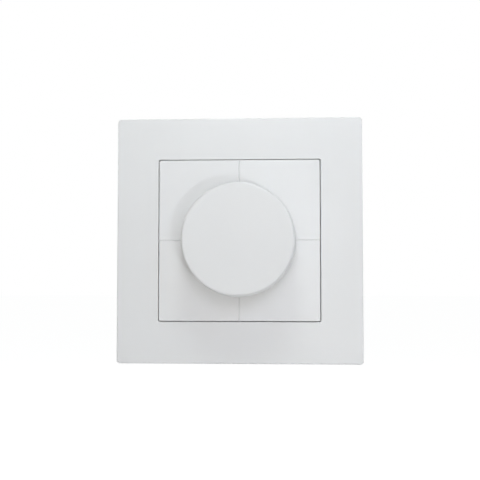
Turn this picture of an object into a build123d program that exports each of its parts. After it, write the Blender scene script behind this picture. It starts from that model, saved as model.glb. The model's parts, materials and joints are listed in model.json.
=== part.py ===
from build123d import *
import os
from math import cos, pi, radians, sin, tan

# Rotary push dimmer for a 60 mm flush wall box, all sizes in millimetres.
# Every piece is drawn face up on a bench: x to the right, y up the wall, z out of the wall
# towards the room, with z = 0 at the wall surface and the knob's axis on the origin.
# The last step turns the set so that the front faces -Y and +Z is up.

# Cover frame
FRAME_SIZE = 84.0
FRAME_DEPTH = 9.0
FRAME_FACE = 2.2
FRAME_WALL = 2.0
FRAME_DRAFT = 1.5
FRAME_CORNER_RADIUS = 1.2
FRAME_EDGE_RADIUS = 0.45
FRAME_RIB_PLACE = 20.0
SKIRT_WALL = 1.6
LEDGE_REACH = 2.0
LEDGE_THICKNESS = 1.6
RIB_THICKNESS = 1.2
RIB_FOOT_GAP = 0.6
CORNER_RIB_DROP = 2.4
PRY_NOTCH_WIDTH = 8.0
PRY_NOTCH_HEIGHT = 1.2

# Centre plate
PLATE_SIZE = 55.0
PLATE_GAP = 0.25
PLATE_PROUD = 0.3
PLATE_THICKNESS = 2.0
PLATE_SKIRT = 1.5
PLATE_RIB_GAP = 1.2
PLATE_CORNER_RADIUS = 0.6
PLATE_EDGE_RADIUS = 0.3
GROOVE_WIDTH = 0.36
GROOVE_DEPTH = 0.28
RECESS_RADIUS = 12.0
RECESS_DEPTH = 1.0
SEAT_MARGIN = 1.2
SEAT_THICKNESS = 1.5
PEG_RADIUS = 1.5
PEG_HEIGHT = 2.4
PEG_CLEARANCE = 0.12
PEG_END_GAP = 0.2
PEG_CHAMFER = 0.4
SOCKET_WALL = 1.1
SCREW_HEAD_ROOM = 11.0
SCREW_HEAD_HEIGHT = 3.2

# Knob
KNOB_DIAMETER = 38.6
KNOB_DRAFT = 4.0
KNOB_TOP_RADIUS = 0.8
KNOB_HEIGHT = 9.3
KNOB_WALL = 1.8
KNOB_ROOF = 1.9
KNOB_TRAVEL = 1.0
KNOB_RIBS = 6
KNOB_RIB_THICKNESS = 1.0
HUB_WALL = 2.1
HUB_SLIT = 0.8
HUB_SLIT_DEPTH = 2.4
CLAMP_WIRE = 0.8
CLAMP_RING_MOUTH = 2.4
UNDER_KNOB_GAP = 0.5

# Potentiometer with its push switch
SHAFT_DIAMETER = 6.0
SHAFT_FLAT = 1.5
SHAFT_KEY_FLAT = 2.1
SHAFT_TIP_DIAMETER = 3.0
SHAFT_CLEARANCE = 0.05
SHAFT_CHAMFER = 0.4
SHAFT_TIP_REACH = 0.3
KEY_END_GAP = 0.2
ROOF_CLEARANCE = 0.6
THREAD_DIAMETER = 10.0
THREAD_CLEARANCE = 0.2
THREAD_END = 0.4
THREAD_CHAMFER = 0.4
NUT_ACROSS_FLATS = 14.0
NUT_THICKNESS = 2.0
NUT_CHAMFER = 0.5
WASHER_THICKNESS = 0.5
WASHER_DIAMETER = 15.0
POT_SIZE = 16.0
POT_CORNER_RADIUS = 1.0
POT_HEIGHT = 6.1
POT_FLOOR = 0.8
POT_WALL = 0.9
FLANGE_THICKNESS = 1.5
CLIP_THICKNESS = 0.5
CLIP_GROOVE_DEPTH = 0.7
CLIP_REACH = 1.6
CLIP_SIDE_GAP = 0.05
CLIP_GRIP_GAP = 0.03
ROTOR_DIAMETER = 11.2
ROTOR_THICKNESS = 2.1
ROTOR_TAB_REACH = 1.2
ROTOR_TAB_WIDTH = 2.0
STOP_WIDTH = 6.0
STOP_GAP = 0.3
TRACK_THICKNESS = 0.7
TRACK_GAP = 0.6
TRACK_EDGE_GAP = 0.1
WIPER_THICKNESS = 0.2
WIPER_GAP = 0.05
WIPER_OUTER_INSET = 0.2
WIPER_INNER_INSET = 0.1
WIPER_BUMP_RADIUS = 0.4
PIN_SIDE = 0.5
PIN_PITCH = 2.0
PIN_GAP = 0.1
PIN_ROW_GAP = 0.6
PIN_BELOW_BOARD = 0.8
SWITCH_SIZE = 12.0
SWITCH_CORNER_RADIUS = 0.5
SWITCH_BASE_GAP = 0.05
SWITCH_WALL = 1.2
SWITCH_ROOF = 0.8
SWITCH_BASE = 0.8
SWITCH_HEIGHT = 7.8
PLUNGER_DIAMETER = 3.6
PLUNGER_FLANGE_DIAMETER = 6.8
PLUNGER_FLANGE = 1.1
PLUNGER_CLEARANCE = 0.3
PLUNGER_STEM = 2.0
PLUNGER_STEM_RADIUS = 1.1
BRIDGE_THICKNESS = 0.3
BRIDGE_WIDTH = 2.4
BRIDGE_INSET = 0.3
CONTACT_SPAN = 7.8
CONTACT_DIAMETER = 1.5
CONTACT_DOME = 0.4
CONTACT_GAP = 0.1
SPRING_DIAMETER = 4.4
SPRING_WIRE = 0.44
SPRING_TURNS = 4

# Support ring that screws to the wall box
RING_SIZE = 71.0
RING_THICKNESS = 1.0
RING_CORNER_CUT = 8.0
RING_EDGE_RADIUS = 1.5
RING_WINDOW_GAP = 0.3
BOX_SCREW_SPACING = 60.0
BOX_SLOT_WIDTH = 3.8
BOX_SLOT_LENGTH = 7.0
LEVEL_SLOT_ANGLE = 13.0
KEYHOLE_DIAMETER = 7.5
KEYHOLE_ANGLE = 20.0
LUG_WIDTH = 10.0
LUG_LENGTH = 8.5
LUG_GAP = 0.1
LUG_RELIEF = 0.5
LUG_BEND_RADIUS = 0.5
NOSE_WIDTH = 5.4
NOSE_PROUD = 0.9
NOSE_LENGTH = 2.4
NOSE_FLAT = 0.5
NOSE_FRONT = 4.6
NOSE_GAP = 0.25
CENTRE_NOTCH_RADIUS = 1.2

# Insert housing
BOSS_SIZE = 43.4
BODY_SHOULDER = 3.3
BODY_BOX_RADIUS = 28.5
BODY_CORNER_RADIUS = 2.0
BODY_INNER_RADIUS = 0.4
STRIP_GAUGE_PLACE = (0.0, 4.0)
STRIP_GAUGE_LENGTH = 11.0
STRIP_GAUGE_WIDTH = 2.4
STRIP_GAUGE_DEPTH = 0.5
BODY_EDGE_RADIUS = 0.8
BODY_WALL = 1.6
BODY_DRAFT = 1.0
CAP_DEPTH = 3.0
BOSS_HEIGHT = 4.0
BOSS_CORNER_RADIUS = 3.0
BOSS_EDGE_RADIUS = 0.5
COLLAR_REACH = 4.5
COLLAR_WALL = 1.5
LIP_WALL = 0.8
LIP_HEIGHT = 1.2
LIP_GAP = 0.1
PILLAR_RADIUS = 2.0
PILLAR_INSET = 0.6
HOUSING_SCREW_RADIUS = 1.0
HOUSING_SCREW_HEAD_RADIUS = 1.9
HOUSING_SCREW_HEAD = 1.2
HOUSING_SCREW_GAP = 0.2
HOUSING_SCREW_EDGE = 0.4
HOUSING_SCREW_END_GAP = 0.6
CROSS_SLOT_LENGTH = 2.2
CROSS_SLOT_WIDTH = 0.6
CROSS_SLOT_DEPTH = 0.7
THREAD_BITE_GAP = 0.02
VENT_WIDTH = 1.4
FRONT_VENT_GAP = 3.0
FRONT_VENT_ROWS = 2
FRONT_VENT_LENGTH = 18.0
FRONT_VENT_PITCH = 3.4
BACK_VENT_LENGTH = 12.0
BACK_VENT_PITCH = 4.6
BACK_VENTS = 6

# Circuit board and what stands on it
BOARD_THICKNESS = 1.6
BOARD_GAP = 0.6
BOARD_PILLAR_GAP = 0.3
LEAD_SIDE = 0.6
LEAD_BELOW_BOARD = 0.9
STANDOFF_RADIUS = 1.2
STANDOFF_X = 20.5
STANDOFF_Y = 8.0
CHOKE_PLACE = (-12.8, 12.8)
CHOKE_CORE_DIAMETER = 14.0
CHOKE_CORE_BORE = 7.0
CHOKE_CORE_HEIGHT = 5.7
CHOKE_CORE_EDGE = 0.6
CHOKE_WIRE = 0.9
CHOKE_TURNS = 20
CHOKE_NOTCH_WIDTH = 0.63
CHOKE_NOTCH_DEPTH = 0.36
CHOKE_LEAD_SPAN = 13.0
CHOKE_LEAD_TURN = 80.0
FILM_CAPACITOR_PLACE = (11.0, 16.5)
FILM_CAPACITOR_SIZE = (12.0, 6.0, 11.0)
FILM_CAPACITOR_EDGE = 0.5
FILM_CAPACITOR_LEAD_SPAN = 10.0
STORAGE_CAPACITOR_PLACE = (14.5, 8.2)
STORAGE_CAPACITOR_DIAMETER = 8.0
STORAGE_CAPACITOR_HEIGHT = 11.0
STORAGE_CAPACITOR_LEAD_SPAN = 3.5
CAN_EDGE = 0.4
CAN_CRIMP_PLACE = 1.6
CAN_CRIMP_DEPTH = 0.5
CAN_SCORE_LENGTH = 4.8
CAN_SCORE_WIDTH = 0.3
CAN_SCORE_DEPTH = 0.2
FUSE_PLACE = (-13.2, -4.0)
FUSE_DIAMETER = 8.4
FUSE_HEIGHT = 8.0
FUSE_EDGE = 0.6
FUSE_LEAD_SPAN = 5.1
TRIMMER_PLACE = (15.2, -6.3)
TRIMMER_SIZE = 7.0
TRIMMER_HEIGHT = 5.0
TRIMMER_FLOOR = 1.2
TRIMMER_LEAD_SPAN = 5.0
TRIMMER_FOOT_RADIUS = 2.0
TRIMMER_STEM_RADIUS = 1.6
TRIMMER_HEAD_RADIUS = 2.3
TRIMMER_HEAD = 2.0
TRIMMER_HEAD_CHAMFER = 0.3
TRIMMER_SLOT_WIDTH = 0.8
TRIMMER_SLOT_DEPTH = 0.9
TRIMMER_HOLE_GAP = 0.3
TRIMMER_RECESS = 0.6
TRIMMER_RIM_WALL = 0.8
TRIMMER_RIM_HEIGHT = 0.5
TRANSISTOR_SPACING = 15.0
TRANSISTOR_Y = 11.0
TRANSISTOR_SIZE = (10.0, 9.2, 4.0)
TRANSISTOR_TAB = (2.6, 1.3)
TRANSISTOR_EDGE = 0.5
TRANSISTOR_LEAD_PITCH = 2.54
TRANSISTOR_LEAD_WIDTH = 0.8
TRANSISTOR_LEAD_THICKNESS = 0.5
TRANSISTOR_LEAD_HEIGHT = 2.4
TRANSISTOR_LEAD_REACH = 1.8
THERMAL_PAD_THICKNESS = 0.3
SPREADER_SIZE = (32.0, 17.0)
SPREADER_Y = 11.5
SPREADER_THICKNESS = 1.5
CHIP_PLACE = (-8.2, -4.0)
CHIP_SIZE = (8.6, 3.9, 1.5)
CHIP_STANDOFF = 0.1
CHIP_LEADS = 7
CHIP_LEAD_PITCH = 1.27
CHIP_LEAD_WIDTH = 0.4
CHIP_LEAD_REACH = 1.0
CHIP_LEAD_THICKNESS = 0.3
RECTIFIER_PLACE = (10.0, -4.5)
RECTIFIER_SIZE = (8.0, 6.4, 2.6)
RECTIFIER_EDGE = 0.4
SURFACE_PART_SIZE = (2.0, 1.2, 0.6)
SURFACE_PART_COLUMNS = (-1.6, 1.6)
SURFACE_PART_ROWS = (-8.0, -5.6, -3.2, -0.8)

# Screw terminals with rising clamps
POLE_PITCH = 9.0
POLE_COUNT = 3
BLOCK_HALF_WIDTH = 14.2
BLOCK_RECESS = 0.4
BLOCK_END_WALL = 0.9
BLOCK_FRONT = 9.5
BLOCK_EDGE_RADIUS = 0.4
BLOCK_GAP = 0.1
BLOCK_RIB_REACH = 1.3
BLOCK_RIB_WIDTH = 1.6
BLOCK_RIB_PLACE = 4.8
GUIDE_WIDTH = 1.4
GUIDE_HEIGHT = 6.0
CLAMP_WIDTH = 6.4
CLAMP_DEPTH = 5.0
CLAMP_SIDE = 1.0
CLAMP_NEAR_WALL = 1.6
CLAMP_FAR_WALL = 1.1
CLAMP_TRAVEL = 2.6
CLAMP_CLEARANCE = 0.3
CLAMP_CORNER_RADIUS = 0.7
CLAMP_TOOTH_DEPTH = 0.3
CLAMP_TOOTH_PITCH = 1.2
BUSBAR_THICKNESS = 1.0
BUSBAR_SIDE_GAP = 0.2
BUSBAR_END_GAP = 0.2
BUSBAR_FOOT = 2.0
WIRE_SPACE = 2.9
WIRE_HOLE_RADIUS = 1.4
WIRE_FUNNEL = 0.6
WIRE_WALL = 2.2
WIRE_STOP_DEPTH = 1.2
TERMINAL_SCREW_RADIUS = 1.5
TERMINAL_HEAD_RADIUS = 2.5
TERMINAL_HEAD = 1.8
TERMINAL_HEAD_EDGE = 0.4
TERMINAL_TIP_CHAMFER = 0.4
TERMINAL_HEAD_RECESS = 0.4
TERMINAL_WEB = 0.9
TERMINAL_SLOT_WIDTH = 0.7
TERMINAL_SLOT_DEPTH = 0.9
RUNNING_CLEARANCE = 0.05

# How far a piece is let into what carries it, and how far a cut runs past the face that it opens
BITE = 0.1
PAST = 1.0

# Levels along z, worked out from the sizes above
ring_front = RING_THICKNESS
ledge_front = ring_front + LEDGE_THICKNESS
frame_front = FRAME_DEPTH
face_back = frame_front - FRAME_FACE
plate_front = frame_front + PLATE_PROUD
plate_back = plate_front - PLATE_THICKNESS
recess_floor = plate_front - RECESS_DEPTH
seat_back = recess_floor - SEAT_THICKNESS
nut_back = recess_floor + WASHER_THICKNESS
nut_front = nut_back + NUT_THICKNESS
thread_top = nut_front + THREAD_END
knob_rim = plate_front + KNOB_TRAVEL + UNDER_KNOB_GAP
knob_front = knob_rim + KNOB_HEIGHT
knob_roof = knob_front - KNOB_ROOF
hub_foot = thread_top + KNOB_TRAVEL + THREAD_END
shaft_top = knob_roof - ROOF_CLEARANCE
boss_roof = BOSS_HEIGHT - BODY_WALL
flange_back = boss_roof - FLANGE_THICKNESS
pot_back = flange_back - POT_HEIGHT
track_back = pot_back + POT_FLOOR
track_front = track_back + TRACK_THICKNESS
wiper_back = track_front + WIPER_GAP
rotor_back = wiper_back + 2 * WIPER_THICKNESS
rotor_front = rotor_back + ROTOR_THICKNESS
clip_back = flange_back - CLIP_THICKNESS
key_end = track_back + KNOB_TRAVEL + KEY_END_GAP
plunger_top = pot_back + SHAFT_TIP_REACH
switch_roof_back = pot_back - SWITCH_ROOF
plunger_flange_front = switch_roof_back - CONTACT_GAP
plunger_flange_back = plunger_flange_front - PLUNGER_FLANGE
bridge_back = plunger_flange_back - BRIDGE_THICKNESS
board_front = pot_back - SWITCH_HEIGHT
board_back = board_front - BOARD_THICKNESS
switch_floor = board_front + SWITCH_BASE
pad_front = board_back - TRANSISTOR_SIZE[2]
spreader_front = pad_front - THERMAL_PAD_THICKNESS
body_floor = spreader_front - SPREADER_THICKNESS
body_back = body_floor - BODY_WALL
screw_end = boss_roof - 2 * HOUSING_SCREW_END_GAP

# Plan sizes, worked out from the sizes above
opening_size = PLATE_SIZE + 2 * PLATE_GAP
ledge_size = PLATE_SIZE - 2 * LEDGE_REACH
window_size = BOSS_SIZE + 2 * RING_WINDOW_GAP
body_size = BOSS_SIZE + 2 * BODY_SHOULDER
peg_place = BOSS_SIZE / 2 - PEG_RADIUS - PEG_CLEARANCE - SOCKET_WALL
pillar_x = BOSS_SIZE / 2 - BODY_WALL - PILLAR_INSET
shaft_radius = SHAFT_DIAMETER / 2
thread_radius = THREAD_DIAMETER / 2
hub_radius = shaft_radius + SHAFT_CLEARANCE + HUB_WALL
collar_radius = thread_radius + COLLAR_REACH
slot_radius = BOX_SCREW_SPACING / 2
lug_root = body_size / 2 + LUG_GAP + RING_THICKNESS + LUG_BEND_RADIUS

# Terminal levels along y, from the outer end of the block to its inner end
block_foot = -(body_size / 2 - BLOCK_RECESS)
head_foot = block_foot + TERMINAL_HEAD_RECESS
head_top = head_foot + TERMINAL_HEAD
chamber_foot = head_top + TERMINAL_WEB
clamp_foot = chamber_foot + CONTACT_GAP + CLAMP_TRAVEL
window_foot = clamp_foot + CLAMP_NEAR_WALL
busbar_foot = window_foot + BUSBAR_SIDE_GAP
busbar_top = busbar_foot + BUSBAR_THICKNESS
window_top = busbar_top + WIRE_SPACE
clamp_top = window_top + CLAMP_FAR_WALL
block_top = clamp_top + CLAMP_CLEARANCE + BLOCK_END_WALL
rib_foot = block_foot + BLOCK_RIB_PLACE
wire_y = busbar_top + WIRE_SPACE / 2
chamber_back = body_back + WIRE_WALL
chamber_front = chamber_back + CLAMP_DEPTH + 2 * CLAMP_CLEARANCE
pole_z = (chamber_back + chamber_front) / 2
pole_places = [POLE_PITCH * (i - (POLE_COUNT - 1) / 2) for i in range(POLE_COUNT)]


def slab(outline, low, high):
    """A sketch drawn on the bench, as a solid between two heights."""
    return extrude(Pos(0, 0, low) * outline, amount=high - low)


def disc(radius, low, high, x=0.0, y=0.0):
    """An upright cylinder between two heights."""
    return slab(Pos(x, y) * Circle(radius), low, high)


def block(x_range, y_range, z_range):
    """A plain box given by its limits along x, y and z."""
    sizes = [high - low for low, high in (x_range, y_range, z_range)]
    centre = [(high + low) / 2 for low, high in (x_range, y_range, z_range)]
    return Pos(*centre) * Box(*sizes)


def turned(points):
    """A solid of revolution about z from a closed outline of (radius, height) points."""
    return revolve(Plane.XZ * make_face(Polyline(*points, close=True)), axis=Axis.Z)


def four_ways(shape):
    """A shape and its copies at each quarter turn about z."""
    return [Rot(0, 0, 90 * quarter) * shape for quarter in range(4)]


def edges_at(shape, height):
    """The edges that lie level at one height."""
    return [
        e for e in shape.edges()
        if abs(e.bounding_box().min.Z - height) < 1e-4 and abs(e.bounding_box().max.Z - height) < 1e-4
    ]


def corner_at(face, x, y):
    """The corner of a flat outline at one place."""
    return [v for v in face.vertices() if abs(v.X - x) < 1e-4 and abs(v.Y - y) < 1e-4]


def square(size, radius):
    return RectangleRounded(size, size, radius)


def screw_head_room(inner):
    """The pocket that clears a box screw's head, on the right-hand side."""
    return block(
        (inner, slot_radius + SCREW_HEAD_ROOM / 2),
        (-SCREW_HEAD_ROOM / 2, SCREW_HEAD_ROOM / 2),
        (ring_front, ring_front + SCREW_HEAD_HEIGHT),
    )


def corner_rib(skirt_size, inside):
    """The sloping web across one corner of the frame, from the inner skirt to the outer wall."""
    inner = (skirt_size / 2 - BITE) * 2 ** 0.5 - (PLATE_CORNER_RADIUS + SKIRT_WALL) * (2 ** 0.5 - 1)
    outer = inside / 2 * 2 ** 0.5 - FRAME_CORNER_RADIUS * (2 ** 0.5 - 1) + BITE
    top = face_back + BITE
    profile = make_face(Polyline(
        (inner, ring_front + RIB_FOOT_GAP), (outer, top - CORNER_RIB_DROP), (outer, top), (inner, top), close=True,
    ))
    web = Pos(0, RIB_THICKNESS / 2, 0) * extrude(Plane.XZ * profile, amount=RIB_THICKNESS)
    return Rot(0, 0, 45) * web


def cover_frame():
    flare = FRAME_DEPTH * tan(radians(FRAME_DRAFT))
    foot = square(FRAME_SIZE + 2 * flare, FRAME_CORNER_RADIUS + flare)
    shell = extrude(foot, amount=FRAME_DEPTH, taper=FRAME_DRAFT)
    shell = fillet(edges_at(shell, frame_front), FRAME_EDGE_RADIUS)
    inside = FRAME_SIZE - 2 * FRAME_WALL
    shell -= slab(square(inside, FRAME_CORNER_RADIUS), 0, face_back)
    skirt_size = opening_size + 2 * SKIRT_WALL
    shell += slab(square(skirt_size, PLATE_CORNER_RADIUS + SKIRT_WALL), ring_front, face_back)
    shell -= slab(square(opening_size, PLATE_CORNER_RADIUS), ledge_front, frame_front)
    shell -= slab(square(ledge_size, PLATE_CORNER_RADIUS), ring_front, ledge_front)
    reach = opening_size / 2 + BITE
    rims = [e for e in edges_at(shell, frame_front) if max(abs(e.center().X), abs(e.center().Y)) < reach]
    shell = fillet(rims, PLATE_EDGE_RADIUS)
    rib = block(
        (skirt_size / 2 - BITE, inside / 2 + BITE),
        (-RIB_THICKNESS / 2, RIB_THICKNESS / 2),
        (ring_front + RIB_FOOT_GAP, face_back + BITE),
    )
    for place in (-FRAME_RIB_PLACE, FRAME_RIB_PLACE):
        shell += four_ways(Pos(0, place, 0) * rib)
    shell += four_ways(corner_rib(skirt_size, inside))
    shell -= four_ways(screw_head_room(ledge_size / 2 - BITE))
    shell -= block(
        (-PRY_NOTCH_WIDTH / 2, PRY_NOTCH_WIDTH / 2),
        (-FRAME_SIZE / 2 - PAST, -inside / 2),
        (0, PRY_NOTCH_HEIGHT),
    )
    return shell


def groove_cutter(length):
    """The V-shaped line pressed into the plate, along x at its front."""
    profile = make_face(Polyline(
        (-GROOVE_WIDTH / 2, plate_front), (0, plate_front - GROOVE_DEPTH),
        (GROOVE_WIDTH / 2, plate_front), (0, plate_front + GROOVE_DEPTH), close=True,
    ))
    return Pos(-length / 2, 0, 0) * extrude(Plane.YZ * profile, amount=length)


def centre_plate():
    plate = slab(square(PLATE_SIZE, PLATE_CORNER_RADIUS), ledge_front, plate_front)
    plate = fillet(edges_at(plate, plate_front), PLATE_EDGE_RADIUS)
    inside = PLATE_SIZE - 2 * PLATE_SKIRT
    plate -= slab(square(inside, PLATE_CORNER_RADIUS), ledge_front, plate_back)
    plate += disc(RECESS_RADIUS + SEAT_MARGIN, seat_back, plate_back)
    rib_length = inside / 2 + BITE
    rib = block((RECESS_RADIUS, rib_length), (-RIB_THICKNESS / 2, RIB_THICKNESS / 2),
                (BOSS_HEIGHT + PLATE_RIB_GAP, plate_back))
    plate += four_ways(rib)
    socket_radius = PEG_RADIUS + PEG_CLEARANCE + SOCKET_WALL
    socket = disc(socket_radius, BOSS_HEIGHT + PEG_CLEARANCE, plate_back, peg_place, peg_place)
    plate += four_ways(socket)
    peg_hole = disc(PEG_RADIUS + PEG_CLEARANCE, BOSS_HEIGHT, BOSS_HEIGHT + PEG_HEIGHT + PEG_END_GAP,
                    peg_place, peg_place)
    plate -= four_ways(peg_hole)
    plate -= disc(RECESS_RADIUS, recess_floor, plate_front)
    plate -= disc(thread_radius + THREAD_CLEARANCE, seat_back, recess_floor)
    plate -= four_ways(screw_head_room(inside / 2 - BITE))
    plate -= [Rot(0, 0, turn) * groove_cutter(PLATE_SIZE + 2 * PAST) for turn in (0, 90)]
    return plate


def shaft_section(radius, flat):
    """A round section with one flat, for the shaft's end and the knob's hub."""
    return Circle(radius) - Pos(0, flat + radius) * Rectangle(2 * radius, 2 * radius)


def key_section(radius, flat):
    """A round section with two opposite flats, for the part that slides in the rotor."""
    return Circle(radius) & Rectangle(2 * radius + 1, 2 * flat)


def knob():
    base = KNOB_DIAMETER / 2
    top = base - KNOB_HEIGHT * tan(radians(KNOB_DRAFT))
    shell = turned([(0, knob_rim), (base, knob_rim), (top, knob_front), (0, knob_front)])
    shell = fillet(edges_at(shell, knob_front), KNOB_TOP_RADIUS)
    shell -= turned([
        (0, knob_rim), (base - KNOB_WALL, knob_rim), (top - KNOB_WALL, knob_roof), (0, knob_roof),
    ])
    shell += disc(hub_radius, hub_foot, knob_roof)
    rib_foot = hub_foot + HUB_SLIT_DEPTH
    rib = block((hub_radius - HUB_WALL / 2, base - KNOB_WALL),
                (-KNOB_RIB_THICKNESS / 2, KNOB_RIB_THICKNESS / 2), (rib_foot, knob_roof))
    for turn in range(KNOB_RIBS):
        shell += Rot(0, 0, 360 * (turn + 0.5) / KNOB_RIBS) * rib
    bore = shaft_section(shaft_radius + SHAFT_CLEARANCE, SHAFT_FLAT + SHAFT_CLEARANCE)
    shell -= slab(bore, hub_foot, knob_roof)
    shell -= block((-hub_radius - PAST, hub_radius + PAST), (-HUB_SLIT / 2, HUB_SLIT / 2),
                   (hub_foot, rib_foot))
    return shell


def knob_clamp_ring():
    """The open wire ring that squeezes the slit hub onto the shaft."""
    low = hub_foot + CLAMP_WIRE
    outline = Circle(hub_radius + CLAMP_WIRE) - Circle(hub_radius)
    outline -= Pos(0, -hub_radius) * Rectangle(CLAMP_RING_MOUTH, 3 * CLAMP_WIRE)
    return slab(outline, low, low + CLAMP_WIRE)


def collar_nut():
    nut = slab(RegularPolygon(NUT_ACROSS_FLATS / 2, 6, major_radius=False), nut_back, nut_front)
    corner = NUT_ACROSS_FLATS / 3 ** 0.5
    crown = turned([
        (0, nut_back), (corner + BITE, nut_back), (corner + BITE, nut_front - NUT_CHAMFER),
        (NUT_ACROSS_FLATS / 2, nut_front), (0, nut_front),
    ])
    return (nut & crown) - disc(thread_radius, nut_back, nut_front)


def collar_washer():
    outline = Circle(WASHER_DIAMETER / 2) - Circle(thread_radius + THREAD_CLEARANCE)
    return slab(outline, recess_floor, nut_back)


def pot_bushing():
    bushing = slab(square(POT_SIZE, POT_CORNER_RADIUS), flange_back, boss_roof)
    barrel = disc(thread_radius, boss_roof, thread_top)
    bushing += chamfer(edges_at(barrel, thread_top), THREAD_CHAMFER)
    return bushing - disc(shaft_radius + SHAFT_CLEARANCE, flange_back, thread_top)


def pot_shaft():
    groove_back, groove_front = clip_back - CLIP_SIDE_GAP, flange_back + CLIP_SIDE_GAP
    shaft = disc(shaft_radius, groove_front, hub_foot)
    shaft += disc(shaft_radius - CLIP_GROOVE_DEPTH, groove_back, groove_front)
    end = slab(shaft_section(shaft_radius, SHAFT_FLAT), hub_foot, shaft_top)
    shaft += chamfer(edges_at(end, shaft_top), SHAFT_CHAMFER)
    shaft += slab(key_section(shaft_radius, SHAFT_KEY_FLAT), key_end, groove_back)
    return shaft + disc(SHAFT_TIP_DIAMETER / 2, plunger_top, key_end)


def shaft_clip():
    """The open clip that stops the shaft from being pulled out of the bushing."""
    inner = shaft_radius - CLIP_GROOVE_DEPTH + CLIP_GRIP_GAP
    outline = Circle(shaft_radius + CLIP_REACH) - Circle(inner)
    outline -= Pos(shaft_radius + CLIP_REACH, 0) * Rectangle(2 * (shaft_radius + CLIP_REACH), 2 * inner)
    return slab(outline, clip_back, flange_back)


def pot_housing():
    cup = slab(square(POT_SIZE, POT_CORNER_RADIUS), pot_back, flange_back)
    cavity = POT_SIZE / 2 - POT_WALL
    cup -= disc(cavity, track_back, flange_back)
    cup -= disc(PLUNGER_DIAMETER / 2 + 2 * PLUNGER_CLEARANCE, pot_back, track_back)
    cup += block((-STOP_WIDTH / 2, STOP_WIDTH / 2), (-cavity - POT_WALL / 2, -ROTOR_DIAMETER / 2 - STOP_GAP),
                 (track_front, flange_back - STOP_GAP))
    cup -= [pin_at(place, pot_back, track_back, PIN_GAP) for place in pin_places()]
    return cup


def pin_places():
    y = -(SWITCH_SIZE / 2 + PIN_ROW_GAP)
    return [(PIN_PITCH * i, y) for i in (-1, 0, 1)]


def pin_at(place, low, high, gap=0.0):
    side = PIN_SIDE + 2 * gap
    return slab(Pos(*place) * Rectangle(side, side), low, high)


def pot_pins():
    return [pin_at(place, board_back - PIN_BELOW_BOARD, track_back) for place in pin_places()]


def track_board():
    outline = Circle(POT_SIZE / 2 - POT_WALL - TRACK_EDGE_GAP) - Circle(shaft_radius + TRACK_GAP)
    return slab(outline, track_back, track_front)


def wiper_rotor():
    outline = Circle(ROTOR_DIAMETER / 2)
    tab_reach = ROTOR_DIAMETER / 2 + ROTOR_TAB_REACH
    outline += Pos(0, tab_reach / 2) * Rectangle(ROTOR_TAB_WIDTH, tab_reach)
    outline -= key_section(shaft_radius + SHAFT_CLEARANCE, SHAFT_KEY_FLAT + SHAFT_CLEARANCE)
    return slab(outline, rotor_back, rotor_front)


def wiper_contact():
    """A thin springy ring under the rotor with two bumps that run on the track."""
    outer = ROTOR_DIAMETER / 2 - WIPER_OUTER_INSET
    inner = shaft_radius + TRACK_GAP + WIPER_INNER_INSET
    carrier = slab(Circle(outer) - Circle(inner), rotor_back - WIPER_THICKNESS, rotor_back)
    middle = (outer + inner) / 2
    for side in (-1, 1):
        carrier += disc(WIPER_BUMP_RADIUS, wiper_back, rotor_back - WIPER_THICKNESS, side * middle, 0)
    return carrier


def switch_housing():
    cap = slab(square(SWITCH_SIZE, POT_CORNER_RADIUS), board_front, pot_back)
    cavity = square(SWITCH_SIZE - 2 * SWITCH_WALL, SWITCH_CORNER_RADIUS)
    cap -= slab(cavity, board_front, switch_roof_back)
    return cap - disc(PLUNGER_DIAMETER / 2 + PLUNGER_CLEARANCE, switch_roof_back, pot_back)


def contact_places():
    return [(-CONTACT_SPAN / 2, 0), (CONTACT_SPAN / 2, 0)]


def switch_base():
    cavity = square(SWITCH_SIZE - 2 * SWITCH_WALL - 2 * SWITCH_BASE_GAP, SWITCH_CORNER_RADIUS)
    base = slab(cavity, board_front, switch_floor)
    return base - [disc(CONTACT_DIAMETER / 2, board_front, switch_floor, *p) for p in contact_places()]


def switch_contacts():
    """Two posts with domed tips that the bridge closes when the knob is pressed."""
    top = bridge_back - KNOB_TRAVEL - CONTACT_GAP
    posts = []
    for place in contact_places():
        post = disc(CONTACT_DIAMETER / 2, board_front, top, *place)
        post = fillet(edges_at(post, top), CONTACT_DOME)
        posts.append(post + pin_at(place, board_back - PIN_BELOW_BOARD, board_front))
    return posts


def switch_plunger():
    pin = disc(PLUNGER_DIAMETER / 2, plunger_flange_front, plunger_top)
    flange = disc(PLUNGER_FLANGE_DIAMETER / 2, plunger_flange_back, plunger_flange_front)
    stem = disc(PLUNGER_STEM_RADIUS, plunger_flange_back - PLUNGER_STEM, plunger_flange_back)
    return pin + flange + stem


def contact_bridge():
    """The metal strip under the plunger's flange that joins the two posts."""
    strip = Rectangle(CONTACT_SPAN + CONTACT_DIAMETER / 2, BRIDGE_WIDTH)
    outline = strip + Circle(PLUNGER_FLANGE_DIAMETER / 2 - BRIDGE_INSET) - Circle(PLUNGER_STEM_RADIUS)
    return slab(outline, bridge_back, plunger_flange_back)


def return_spring():
    low, high = switch_floor + SPRING_WIRE / 2, bridge_back - SPRING_WIRE / 2
    radius = SPRING_DIAMETER / 2
    path = Pos(0, 0, low) * Helix(pitch=(high - low) / SPRING_TURNS, height=high - low, radius=radius)
    section = Plane(path @ 0, z_dir=path % 0) * Circle(SPRING_WIRE / 2)
    return sweep(section, path=path)


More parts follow.
